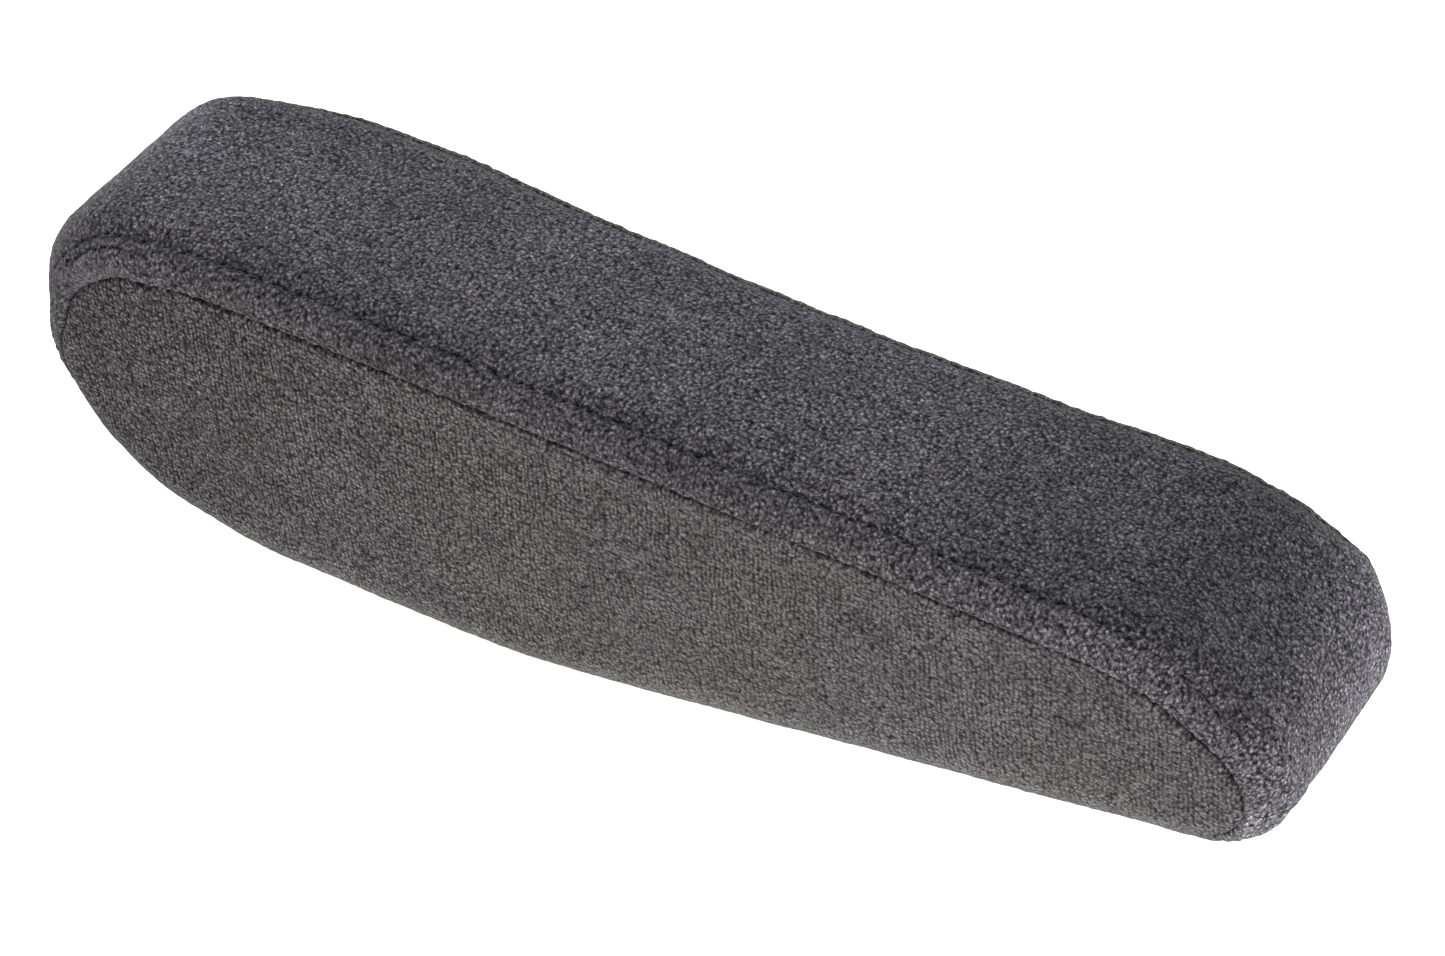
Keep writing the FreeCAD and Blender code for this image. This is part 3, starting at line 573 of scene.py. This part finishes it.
def panel_mesh(pad, swell, side, seam_tree):
    """A side panel with its half of the underside. The two are one piece of cloth."""
    everything = np.arange(pad.count)
    edge, _ = pad.at(everything, pad.seam_arc, side)
    start_arc = pad.seam_arc
    middle = pad.medial(everything, side)
    depth = np.linalg.norm(middle[:, [0, 2]] - edge[:, [0, 2]], axis=1) + np.maximum(start_arc, 0) * 0.3
    number = int(np.percentile(depth, 80) / CELL)
    distances = [np.full(pad.count, step) for step in PANEL_ROWS]
    distances += [PANEL_ROWS[-1] + (depth - PANEL_ROWS[-1]) * k / number for k in range(1, number + 1)]
    rows = len(distances)
    points, normals = [], []
    for distance in distances:
        # the first rows follow the rounded edge, the rest is flat and runs to the middle line
        arc = start_arc - distance
        on_edge, edge_normals = pad.at(everything, np.maximum(arc, 0), side)
        first_flat, _ = pad.at(everything, np.zeros(pad.count), side)
        flat_share = np.clip(-arc / np.maximum(depth - start_arc, 1), 0, 1)[:, None]
        flat = first_flat * (1 - flat_share) + middle * flat_share
        flat[:, 1] = on_edge[:, 1]
        points.append(np.where((arc > 0)[:, None], on_edge, flat))
        normals.append(np.where((arc > 0)[:, None], edge_normals, np.array([0.0, side, 0.0])))
    points, normals = np.vstack(points), np.vstack(normals)
    ring = len(points)

    # underside half, between the cross seams, from the ring's first row to the middle or the zip
    under = np.r_[np.arange(pad.front, pad.count), 0]
    x = pad.outline[under, 0]
    zip_start, zip_end = ZIP_X
    open_zip = between(x, (zip_start - 5, zip_start + 1), (zip_end - 1, zip_end + 5))
    gap = np.maximum(ZIP_HALF_GAP * open_zip, 0.05)
    length = pad.middle_arc(under, side) - gap - start_arc[under]
    strip_rows = int(length.mean() / CELL)
    strips = [pad.at(under, start_arc[under] + share * length, side)
              for share in np.linspace(0, 1, strip_rows + 1)[1:]]
    points = np.vstack([points] + [places for places, _ in strips])
    normals = np.vstack([normals] + [outward for _, outward in strips])
    index = np.vstack([under[None], ring + np.arange(strip_rows * len(under)).reshape(strip_rows, -1)])
    quads = np.stack([index[:-1, :-1], index[1:, :-1], index[1:, 1:], index[:-1, 1:]], -1).reshape(-1, 4)
    faces = np.vstack([grid_faces(rows, pad.count, closed=True), quads])

    x, y, z = points.T
    distance = np.array([seam_tree.find(p)[2] for p in points])
    flat_hub = hub_flatten(points, side)
    height = swell.along(points, normals) * smooth_step(distance, 0, 22)
    height -= 0.9 * hump(distance, 0, 0.42) + 0.12 * hump(distance, 0, 1.8)
    height += 0.15 * hump(distance, 3.6, 2.0)
    height += 0.12 * ripple(x, 11, 41 + side) * np.exp(-distance / 8) * smooth_step(distance, 1, 4)
    # Painted shade along the seam's groove, in dashes.
    dashes = smooth_step(blotches(points, 2.8, 44 + side, 24), -0.7, 0.4)
    nap_and_painted_light = 1 - (0.15 + 0.8 * dashes) * hump(distance, 0, 0.46)
    nap_and_painted_light *= 1 + 0.045 * blotches(points, 40, 56 + side) + 0.04 * blotches(points, 12, 57 + side)
    # Pile tone with painted light and shade along the panel, darker towards the rear.
    nap_and_painted_light *= np.interp(x, PANEL_TONE_X, PANEL_TONE)
    # Painted highlight along the lower edge of the side face.
    above_edge = z - np.interp(x, *LOWER_EDGE)
    nap_and_painted_light *= 1 + 0.55 * hump(above_edge, 5, 9) * np.abs(normals[:, 1])
    height += 0.14 * blotches(points, 30, 50 + side) + 0.05 * blotches(points, 9, 52 + side)
    zip_edge = np.abs(y - MID_Y)
    in_zip = between(x, (zip_start - 6, zip_start), (zip_end, zip_end + 6))
    under_zip = in_zip * (z < 0) * (np.abs(normals[:, 1]) < 0.5)
    height += under_zip * 0.25 * hump(zip_edge, 5.8, 1.0)
    stitch_row = under_zip * hump(zip_edge, ZIP_STITCH, 0.9)
    height -= 0.45 * stitch_row
    # Painted shade in the stitched groove beside the zip.
    nap_and_painted_light = nap_and_painted_light * (1 - 0.4 * stitch_row)
    height = height * flat_hub - 0.7 * (1 - flat_hub)
    height += tufts(points, 60 + side) * (0.4 + 0.6 * flat_hub)
    joined = np.zeros(len(points), bool)
    joined[ring - pad.count:ring] = True
    # The cloth goes on from the side face, where z falls, to the underside, where y runs to the middle.
    # The two panels are cut from different places, so that their pile doesn't mirror.
    cut_at = INNER_CUT_AT if side > 0 else 0.0
    cloth = np.c_[x, z + zip_edge + cut_at]
    points = points + normals * height[:, None]
    if side > 0:
        centre = points[faces].mean(1)
        on_face = centre[:, 1] > MID_Y + HALF_WIDTH - 4
        hole = (np.hypot(centre[:, 0], centre[:, 2]) < PIVOT_HOLE_R) & on_face
        faces = faces[~hole]
        used, faces = np.unique(faces, return_inverse=True)
        points, normals, nap_and_painted_light, cloth, joined = [part[used] for part in (points, normals, nap_and_painted_light, cloth, joined)]
        faces = faces.reshape(-1, 4)
    return points, normals, faces, nap_and_painted_light, cloth, joined


def seam_lines(pad):
    """The sewn lines: both side seams, the cross seams and the seam along the underside."""
    band = np.arange(pad.front + 1)
    lines = []
    lines += [pad.at(band, pad.seam_arc[band], side) for side in (-1, 1)]
    for column in (0, pad.front):
        for side in (-1, 1):
            stop = pad.middle_arc(np.array([column]), side)[0]
            arcs = np.arange(pad.seam_arc[column], stop, 0.3)
            lines.append(pad.at(np.full(len(arcs), column), arcs, side))
    under = np.r_[np.arange(pad.front, pad.count), 0]
    x = pad.outline[under, 0]
    closed = under[(x < ZIP_X[0] - 3) | (x > ZIP_X[1] + 3)]
    lines.append(pad.at(closed, pad.middle_arc(closed, -1), -1))
    opened = zip_columns(pad)
    for side in (-1, 1):
        lines.append(pad.at(opened, pad.middle_arc(opened, side) - ZIP_HALF_GAP, side))
    return lines


def zip_columns(pad, past=0.0):
    """Columns of the underside that the zip runs along, and as far past its ends as told."""
    under = np.arange(pad.front, pad.count)
    x = pad.outline[under, 0]
    return under[(x > ZIP_X[0] - past) & (x < ZIP_X[1] + past)]


def outward_faces(points, normals, faces):
    """Turns the quads so that they face along the normals."""
    a, b, c = points[faces[:, 0]], points[faces[:, 1]], points[faces[:, 2]]
    cross = np.cross(b - a, c - a)
    wrong = (cross * normals[faces[:, 0]]).sum(1) < 0
    faces = faces.copy()
    faces[wrong] = faces[wrong][:, ::-1]
    return faces


# ------ thread
TUBE_SIDES = 6


def add_tube(points, faces, centre, first, second, radius):
    """Adds a capped tube round a line to the lists. first and second span its section."""
    angle = 2 * math.pi * np.arange(TUBE_SIDES)[:, None] / TUBE_SIDES
    ring = np.cos(angle) * first[:, None] + np.sin(angle) * second[:, None]
    base = sum(map(len, points))
    points.append((centre[:, None] + radius * ring).reshape(-1, 3))
    faces += (base + grid_faces(len(centre), TUBE_SIDES, closed=True)).tolist()
    start, end = list(range(base, base + TUBE_SIDES)), (len(centre) - 1) * TUBE_SIDES
    faces += [start[::-1], [end + i for i in start]]


def thread_run(name, line, normals, pitch, length, radius, sink, seed):
    """Row of stitches along a line: each one shows between two holes and dives at both ends.
    sink is the height of the thread's middle over the line."""
    rng = np.random.default_rng(seed)
    along = run_length(line)
    starts = np.arange(pitch * 0.5, along[-1] - pitch, pitch)
    points, faces = [], []
    stations = 7
    for first in starts:
        size = length * rng.uniform(0.85, 1.1)
        level = rng.normal(0, 0.06)
        at = np.linspace(first, first + size, stations)
        centre = resampled(at, along, line)
        up = unit(resampled(at, along, normals))
        ahead = unit(np.gradient(centre, axis=0))
        across = np.cross(ahead, up)
        bow = np.sin(np.linspace(0, math.pi, stations)) ** 0.5
        centre = centre + up * (sink + level + 0.7 * (bow - 1))[:, None]
        thin = radius * (0.75 + 0.25 * bow[:, None, None])
        add_tube(points, faces, centre, across, up, thin)
    return mesh_object(name, np.vstack(points), faces)


def stitches(kind, side, line, normals, sizes):
    """The row of one side. Each side's stitches are uneven in their own way."""
    *shape, seed = sizes
    name = kind + ("_outer" if side < 0 else "_inner")
    row = thread_run(name, line, normals, *shape, seed if side < 0 else seed + 1)
    finish_piece(row, THREAD)


# ------ node materials
class Nodes:
    """Small wrapper that keeps node code short."""

    def __init__(self, name):
        self.material = bpy.data.materials.new(name)
        self.material.use_nodes = True
        self.tree = self.material.node_tree
        self.shader = self.tree.nodes["Principled BSDF"]
        self.coords = self.tree.nodes.new("ShaderNodeTexCoord").outputs["Object"]

    def node(self, kind, inputs=None, **settings):
        made = self.tree.nodes.new("ShaderNode" + kind)
        for key, value in settings.items():
            setattr(made, key, value)
        for key, value in (inputs or {}).items():
            self.put(made.inputs[key], value)
        return made

    def put(self, socket, value):
        if isinstance(value, bpy.types.NodeSocket):
            self.tree.links.new(value, socket)
        else:
            socket.default_value = value

    def maths(self, operation, *values, clamp=False):
        made = self.node("Math", operation=operation, use_clamp=clamp)
        for i, value in enumerate(values):
            self.put(made.inputs[i], value)
        return made.outputs[0]

    def times(self, a, b):
        return self.maths("MULTIPLY", a, b)

    def plus(self, a, b, clamp=False):
        return self.maths("ADD", a, b, clamp=clamp)

    def less(self, a, b):
        return self.maths("SUBTRACT", a, b)

    def mix(self, factor, a, b, blend="MIX"):
        made = self.node("Mix", data_type="RGBA", blend_type=blend)
        for index, value in ((0, factor), (6, a), (7, b)):
            self.put(made.inputs[index], value)
        return made.outputs[2]

    def noise(self, vector, scale, detail=2.0, roughness=0.5):
        made = self.node("TexNoise", {"Vector": vector, "Scale": scale, "Detail": detail,
                                                "Roughness": roughness})
        return made.outputs["Fac"]

    def span(self, value, low, high, to_low, to_high):
        made = self.node("MapRange", {"Value": value, "From Min": low, "From Max": high,
                                                "To Min": to_low, "To Max": to_high})
        return made.outputs[0]

    def spread(self, noise, to_low, to_high):
        return self.span(noise, 0.3, 0.7, to_low, to_high)

    def bump(self, height, distance, strength=1.0):
        made = self.node("Bump", {"Height": height, "Distance": distance, "Strength": strength})
        return made.outputs["Normal"]

    def set(self, **values):
        for key, value in values.items():
            self.put(self.shader.inputs[key.replace("_", " ")], value)
        return self.material


def rgb(r, g, b):
    """Linear colour from 0-255 screen values."""
    def linear(v):
        v /= 255
        return v / 12.92 if v <= 0.04045 else ((v + 0.055) / 1.055) ** 2.4
    return (linear(r), linear(g), linear(b), 1.0)


def plush(name, colour, shade, ribbed, contrast, gain):
    """Short cut pile. Tufts stand at random on the band, and in knitted wales on the panels."""
    n = Nodes(name)
    # Tone painted on the cloth: the pile's own, with painted light and shade.
    nap_and_painted_light = n.node("Attribute", attribute_name="nap_and_painted_light").outputs["Fac"]
    cloth = n.node("Attribute", attribute_name="cloth").outputs["Vector"]
    along, across, _ = n.node("SeparateXYZ", {"Vector": cloth}).outputs
    wobble = n.times(n.less(n.noise(cloth, 0.11, 2.0), 0.5), 2.0)
    if ribbed:
        wale = n.plus(n.times(along, 0.745), n.times(across, 0.075))
        wale = n.plus(wale, wobble)
        course = n.times(across, 0.86)
    else:
        wale = n.plus(n.times(along, 0.88), wobble)
        course = n.less(n.times(across, 0.88), wobble)
    # every tuft leans a little its own way
    stray = 0.7 if ribbed else 1.3
    stray_x = n.times(n.less(n.noise(cloth, 1.0, 2.0, 0.6), 0.5), stray)
    aside = n.node("VectorMath", {0: cloth, 1: (37.0, 11.0, 5.0)}, operation="ADD").outputs[0]
    stray_y = n.times(n.less(n.noise(aside, 1.0, 2.0, 0.6), 0.5), stray)
    place = n.node("CombineXYZ", {"X": n.plus(wale, stray_x), "Y": n.plus(course, stray_y),
                                            "Z": 0.0}).outputs[0]
    evenness = {"Vector": place, "Scale": 1.0, "Randomness": 0.8 if ribbed else 1.0}
    cells = n.node("TexVoronoi", evenness, voronoi_dimensions="2D")
    tone = n.node("SeparateColor", {"Color": cells.outputs["Color"]}).outputs[0]
    dome = n.span(cells.outputs["Distance"], 0.12, 0.72, 1.0, 0.0)
    # painted shade in the partings that wind between the tufts, where the pile parts
    parting = n.maths("ABSOLUTE", n.less(n.noise(place, 0.62, 1.0, 0.5), 0.5))
    parting = n.span(parting, 0.0, 0.085, 0.0, 1.0)
    fibres = n.noise(cloth, 3.4, 2.0, 0.7)
    strands = n.noise(cloth, 1.1, 2.0, 0.7)
    patches = n.noise(n.coords, 22.0, 3.0, 0.55)
    lean = n.noise(n.coords, 130.0, 2.0, 0.6)
    body = n.plus(n.times(dome, 0.62), n.times(parting, 0.38))
    # Each tuft is painted lighter on its crown and darker at its edge and in the partings: painted shade
    # between the tufts.
    light = n.times(n.span(tone, 0.0, 1.0, 0.82, 1.18), n.span(body, 0.0, 1.0, 0.30, 1.35))
    light = n.times(light, n.spread(fibres, 0.78, 1.22))
    light = n.times(light, n.spread(strands, 0.66, 1.34))
    if ribbed:
        # Painted shade in the lines between the wales.
        row = n.maths("SINE", n.times(wale, 2 * math.pi))
        clear = n.span(n.noise(n.coords, 30.0, 1.0), 0.35, 0.65, 0.03, 0.16)
        light = n.times(light, n.plus(1.0, n.times(row, clear)))
        contrast = n.span(along, -40.0, 160.0, contrast + 1.15, contrast)
    else:
        contrast = n.span(n.maths("ABSOLUTE", across), 28.0, 38.0, contrast, contrast - 0.25)
    light = n.times(n.maths("POWER", light, contrast), gain)
    light = n.times(light, n.spread(patches, 0.93, 1.07))
    light = n.times(light, n.spread(lean, 0.90, 1.10))
    light = n.times(light, nap_and_painted_light)
    warmth = n.span(n.noise(n.coords, 14.0, 1.0), 0.35, 0.65, 0.0, 0.5)
    # The band is painted warmer towards its edges, where it turns down to the sides: painted light colour.
    if not ribbed:
        warmth = n.plus(warmth, n.span(n.maths("ABSOLUTE", across), 29.0, 37.0, 0.0, 0.5))
    base = n.mix(warmth, colour, shade)
    grey = n.node("CombineColor", {"Red": light, "Green": light, "Blue": light}).outputs[0]
    tinted = n.mix(1.0, base, grey, "MULTIPLY")
    height = n.plus(n.times(body, n.span(tone, 0.0, 1.0, 0.55, 1.0)),
                     n.times(strands, 0.6))
    return n.set(Base_Color=tinted, Roughness=0.95, Normal=n.bump(height, 0.0007, 1.0),
                 Specular_IOR_Level=0.1, Sheen_Weight=0.22, Sheen_Roughness=0.24,
                 Sheen_Tint=(0.80, 0.81, 0.84, 1.0))


def metal(name, colour, worn, roughness, scratch=0.25, metallic=1.0, coat=0.0):
    """Plated, ground or coated metal: streaks, fine scratches and cloudy roughness."""
    n = Nodes(name)
    clouds = n.noise(n.coords, 90.0, 4.0, 0.6)
    stretch = n.node("VectorMath", {0: n.coords, 1: (300.0, 2600.0, 300.0)}, operation="MULTIPLY")
    lines = n.noise(stretch.outputs[0], 1.0, 3.0, 0.6)
    speck = n.noise(n.coords, 1500.0, 2.0)
    colour = n.mix(n.span(clouds, 0.35, 0.7, 0.0, 1.0), colour, worn)
    rough = n.plus(roughness, n.times(n.less(lines, 0.5), scratch), clamp=True)
    height = n.plus(n.times(lines, 0.6), n.times(speck, 0.4))
    return n.set(Base_Color=colour, Metallic=metallic, Roughness=rough, Normal=n.bump(height, 0.00003, 0.5),
                 Coat_Weight=coat)


def moulded(name, colour, shade, roughness, grain=900.0, depth=0.00006, waxy=0.0):
    """Moulded plastic or rubber: fine spark-eroded grain, and a faint change of tone."""
    n = Nodes(name)
    cells = n.node("TexVoronoi", {"Vector": n.coords, "Scale": grain})
    fine = n.noise(n.coords, grain * 2.2, 3.0, 0.6)
    tone = n.noise(n.coords, 45.0, 3.0)
    colour = n.mix(n.spread(tone, 0.0, 1.0), colour, shade)
    rough = n.spread(fine, roughness - 0.06, roughness + 0.08)
    height = n.plus(cells.outputs["Distance"], n.times(fine, 0.6))
    return n.set(Base_Color=colour, Roughness=rough, Normal=n.bump(height, depth, 0.6),
                 Subsurface_Weight=waxy, Subsurface_Scale=0.001)


def foam(name, colour, shade, cell_size):
    """Cut or moulded polyurethane foam: open cells of several sizes."""
    n = Nodes(name)
    small = n.node("TexVoronoi", {"Vector": n.coords, "Scale": 1 / cell_size})
    large = n.node("TexVoronoi", {"Vector": n.coords, "Scale": 0.35 / cell_size})
    tone = n.noise(n.coords, 30.0, 4.0, 0.6)
    wide = n.span(large.outputs["Distance"], 0.0, 0.6, 0.5, 1.0)
    pore = n.times(small.outputs["Distance"], wide)
    base = n.mix(n.spread(tone, 0.0, 1.0), colour, shade)
    # The pores are painted darker: painted shade in the open cells.
    base = n.mix(n.span(pore, 0.0, 0.45, 0.55, 0.0), base, tuple(0.35 * c for c in shade[:3]) + (1.0,))
    return n.set(Base_Color=base, Roughness=0.95, Normal=n.bump(pore, 0.0006, 0.8), Specular_IOR_Level=0.2)


def woven(name, colour, shade, scale=1400.0):
    """Narrow woven tape or twisted thread."""
    n = Nodes(name)
    split = n.node("SeparateXYZ", {"Vector": n.coords})
    warp = n.maths("SINE", n.times(split.outputs[0], scale * 2 * math.pi))
    weft = n.maths("SINE", n.times(split.outputs[1], scale * 2 * math.pi))
    weave = n.span(n.times(warp, weft), -1.0, 1.0, 0.0, 1.0)
    fuzz = n.noise(n.coords, scale * 3, 2.0)
    light = n.plus(n.times(weave, 0.7), n.times(fuzz, 0.5))
    base = n.mix(n.span(light, 0.2, 1.0, 0.0, 1.0), shade, colour)
    return n.set(Base_Color=base, Roughness=0.8, Normal=n.bump(light, 0.00012, 0.7), Sheen_Weight=0.2,
                 Sheen_Roughness=0.4)


# The band's bluer colour and the panels' warmer one are painted light colour: cool light from above, warm
# light from the side.
TOP_PLUSH = plush("plush_band", rgb(88, 86, 93), rgb(86, 84, 87), False, 2.5, 0.865)
SIDE_PLUSH = plush("plush_panel", rgb(86, 84, 86), rgb(84, 81, 82), True, 1.9, 0.83)
THREAD = woven("seam_thread", rgb(62, 61, 64), rgb(30, 30, 32), 2600.0)

# ------ build the cover
pad = Pad(CELL)
lines = seam_lines(pad)
seam_points = np.vstack([line for line, _ in lines])
seam_tree = tree_of(seam_points)
swell = Swell(seam_points)

covers = [("top_band_fabric", "cover_top_band", TOP_PLUSH, band_mesh(pad, swell))]
for side, name, node in ((-1, "outer_panel_fabric", "cover_outer_panel"),
                         (1, "inner_panel_fabric", "cover_inner_panel")):
    covers.append((name, node, SIDE_PLUSH, panel_mesh(pad, swell, side, seam_tree)))
for name, node, material, (points, normals, faces, nap_and_painted_light, cloth, joined) in covers:
    faces = outward_faces(points, normals, faces)
    points, faces, nap_and_painted_light, cloth = turned_in(points, normals, faces, nap_and_painted_light, cloth, TURN_IN, joined)
    finish_piece(mesh_object(name, points, faces, nap_and_painted_light, cloth), material, [node])

for side, (line, normals) in zip((-1, 1), lines):
    stitches("seam_thread", side, line, normals, SEAM_THREAD)

for side in (-1, 1):
    columns = np.arange(12, pad.front - 12)
    line, normals = pad.at(columns, pad.seam_arc[columns] + pad.ridge_width[columns], side)
    line = line + normals * swell.along(line, normals)[:, None]
    stitches("ridge_stitch", side, line, normals, RIDGE_STITCH)
    columns = zip_columns(pad)
    line, normals = pad.at(columns, pad.middle_arc(columns, side) - ZIP_STITCH, side)
    line = line + normals * swell.along(line, normals)[:, None] * 0.1
    stitches("zip_stitch", side, line, normals, ZIP_STITCHES)


# ------ zip chain
def zip_path(pad, step, past=0.0):
    """Evenly spaced points along the zip on the cover, their outward normals, and the distances."""
    columns = zip_columns(pad, past)
    line, normals = pad.at(columns, pad.middle_arc(columns, -1), -1)
    along = run_length(line)
    at = np.arange(0, along[-1], step)
    return resampled(at, along, line), unit(resampled(at, along, normals)), at


def zip_tape(name, node, side):
    """Woven tape: fine ribs across it, a thicker edge beside the coil and a corded selvedge."""
    line, normals, at = zip_path(pad, 0.45, TAPE_END)
    across = np.arange(TAPE_EDGES[0], TAPE_EDGES[1] + 0.2, 0.4)
    across[-1] = TAPE_EDGES[1]
    rows = []
    for face, widths in ((0, across), (1, across[::-1])):
        for v in widths:
            weave = 0.05 * np.sin(at * 2 * math.pi / 0.9 + math.pi * round(v / 0.4)) + 0.04 * math.cos(v * 7)
            edge = 0.12 * math.exp(-((v - 11.6) / 0.5) ** 2) + 0.1 * math.exp(-((v - 3.2) / 0.8) ** 2)
            depth = TAPE_DEPTH[0] + 0.12 - weave - edge if face == 0 else TAPE_DEPTH[1] - 0.1 + weave
            points = line - normals * np.reshape(depth, (-1, 1))
            points[:, 1] += side * v
            rows.append(points)
    rows.append(rows[0])
    points = np.vstack(rows)
    faces = grid_faces(len(rows), len(at)).tolist()
    ends = len(at)
    for column in (0, ends - 1):
        faces.append([row * ends + column for row in range(len(rows) - 1)])
    finish_piece(mesh_object(name, points, faces), TAPE, [node])


def zip_coil():
    """Two flattened spirals that lock into each other along the middle."""
    line, normals, at = zip_path(pad, COIL_PITCH / COIL_STATIONS)
    points, faces = [], []
    for side in (-1, 1):
        turn = 2 * math.pi * (at / COIL_PITCH + (0.5 if side > 0 else 0.0))
        out = COIL_OUT[0] + COIL_OUT[1] * np.cos(turn)
        depth = COIL_DEPTH[0] + COIL_DEPTH[1] * np.sin(turn)
        centre = line - normals * depth[:, None]
        centre[:, 1] += side * out
        ahead = unit(np.gradient(centre, axis=0))
        first = unit(np.cross(ahead, np.array([1.0, 0, 0])))
        second = np.cross(ahead, first)
        add_tube(points, faces, centre, first, second, COIL_WIRE_R)
    finish_piece(mesh_object("zip_coil_spirals", np.vstack(points), faces), COIL, ["zip_coil"])


TAPE = woven("zip_tape", rgb(66, 66, 69), rgb(38, 38, 40))
COIL = moulded("zip_coil", rgb(58, 58, 61), rgb(44, 44, 47), 0.4, 1500.0, 0.00002)
zip_tape("zip_tape_woven_outer", "zip_tape_outer", -1)
zip_tape("zip_tape_woven_inner", "zip_tape_inner", 1)
zip_coil()

# ------ finishes of the CAD parts
FINISHES = {
    "zinc_steel": metal("zinc_plate", rgb(178, 181, 185), rgb(150, 154, 160), 0.40),
    "hard_steel": metal("ground_steel", rgb(196, 194, 190), rgb(160, 158, 156), 0.22, 0.15),
    "spring_steel": metal("spring_steel", rgb(120, 112, 102), rgb(88, 84, 80), 0.30),
    "black_steel": metal("black_enamel", rgb(30, 30, 31), rgb(44, 43, 43), 0.42, 0.2, 0.0, 0.3),
    "black_screw": metal("black_oxide", rgb(36, 36, 38), rgb(58, 57, 56), 0.38, 0.2, 0.6),
    "zip_metal": metal("zip_enamel", rgb(52, 52, 54), rgb(84, 82, 80), 0.36, 0.25, 0.7),
    "bearing_plastic": moulded("bearing_acetal", rgb(226, 223, 212), rgb(214, 210, 198), 0.38, 1400.0,
                               0.00002, 0.1),
    "nut_nylon": moulded("nut_ring", rgb(70, 96, 140), rgb(58, 82, 124), 0.45, 1200.0, 0.00003, 0.1),
    "trim_plastic": moulded("trim_grain", rgb(40, 40, 42), rgb(33, 33, 35), 0.52),
}
MOULDED_FOAM = foam("moulded_foam", rgb(222, 206, 168), rgb(206, 186, 146), 0.0011)
SOFT_FOAM = foam("soft_foam", rgb(206, 208, 206), rgb(190, 192, 190), 0.0009)

for part in frame["record"]["subparts"]:
    if part["material_slot"] in FINISHES:
        mesh = frame["nodes"][part["node"]].data
        mesh.materials.clear()
        mesh.materials.append(FINISHES[part["material_slot"]])


# ------ foam pieces
FOAM_VOXEL, FOAM_SEED = 2.2, 91


def foam_copy(node, name, material, slot, seed):
    """The CAD foam with an open, slightly uneven surface just inside the solid's."""
    source = frame["nodes"][node]
    obj = linked(name, source.data.copy())
    mesh = remeshed(obj, FOAM_VOXEL)
    places = vertex_array(mesh)
    normals = np.zeros(len(mesh.vertices) * 3, np.float32)
    mesh.vertices.foreach_get("normal", normals)
    depth = 0.45 + 0.18 * blotches(places, 6, seed) + 0.2 * np.random.default_rng(seed).random(len(places))
    places -= normals.reshape(-1, 3) * depth[:, None]
    mesh.vertices.foreach_set("co", (places * MM).astype(np.float32).ravel())
    mesh.polygons.foreach_set("use_smooth", [True] * len(mesh.polygons))
    mesh.update()
    finish_piece(obj, material, [node])


for number, row in enumerate((("foam_core", "core_foam_moulding", MOULDED_FOAM, "moulded_foam"),
                              ("foam_topper", "topper_foam_sheet", SOFT_FOAM, "soft_foam"),
                              ("foam_plug", "plug_foam_block", MOULDED_FOAM, "moulded_foam"))):
    foam_copy(*row, FOAM_SEED + number)

# ------ stage
AZIMUTH, ELEVATION, DISTANCE = math.radians(30.8), math.radians(42.1), 1.1304
TARGET = Vector((0.173, -0.094, 0.049))
toward = Vector((math.sin(AZIMUTH) * math.cos(ELEVATION), -math.cos(AZIMUTH) * math.cos(ELEVATION),
                 math.sin(ELEVATION)))
camera = linked("camera", bpy.data.cameras.new("camera"))
camera.data.sensor_width = 36
camera.data.lens = 110.9
camera.data.clip_start, camera.data.clip_end = 0.05, 30
camera.location = TARGET + toward * DISTANCE
camera.rotation_mode = "QUATERNION"
camera.rotation_quaternion = (-toward).to_track_quat("-Z", "Y")
bpy.context.scene.camera = camera


def area_light(name, place, aim, size, power, colour):
    light = linked(name, bpy.data.lights.new(name, "AREA"))
    light.data.shape = "RECTANGLE"
    light.data.size, light.data.size_y = size
    light.data.energy = power
    light.data.color = colour
    light.location = place
    light.rotation_mode = "QUATERNION"
    light.rotation_quaternion = (Vector(aim) - Vector(place)).to_track_quat("-Z", "Y")


CENTRE = (0.14, -0.054, 0.0)
area_light("overhead", (-0.1, 0.5, 1.4), CENTRE, (1.0, 0.8), 11.0, (0.93, 0.96, 1.0))
area_light("front_left", (-1.0, -1.3, 0.45), CENTRE, (0.8, 0.8), 9.0, (1.0, 0.985, 0.96))
area_light("front_right", (1.5, -0.5, 0.3), CENTRE, (0.8, 0.8), 13.0, (1.0, 0.99, 0.98))
area_light("low_bounce", (0.16, -0.25, -0.072), (0.16, -0.09, -0.02), (0.62, 0.05), 0.15, (1.0, 0.80, 0.62))
world = bpy.data.worlds.new("studio")
bpy.context.scene.world = world
world.use_nodes = True
world.node_tree.nodes["Background"].inputs["Color"].default_value = (1.0, 1.0, 1.0, 1.0)
world.node_tree.nodes["Background"].inputs["Strength"].default_value = 0.9

FLOOR_REACH, FLOOR_GAP = 6, 0.03  # metres: the floor's half width, and how far it is below the part
floor_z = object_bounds()[0].z - FLOOR_GAP
floor_mesh = bpy.data.meshes.new("floor")
corners = [(x * FLOOR_REACH, y * FLOOR_REACH, floor_z) for x, y in ((-1, -1), (1, -1), (1, 1), (-1, 1))]
floor_mesh.from_pydata(corners, [], [(0, 1, 2, 3)])
floor = linked("floor", floor_mesh)
paper = Nodes("pale_paper")
grain = paper.noise(paper.coords, 400.0, 3.0)
floor.data.materials.append(paper.set(
    Base_Color=paper.mix(paper.spread(grain, 0.0, 1.0), rgb(250, 250, 250), rgb(253, 253, 253)),
    Roughness=0.9, Emission_Color=(1.0, 0.95, 0.89, 1.0), Emission_Strength=0.45))

bpy.context.scene.view_settings.view_transform = "Standard"
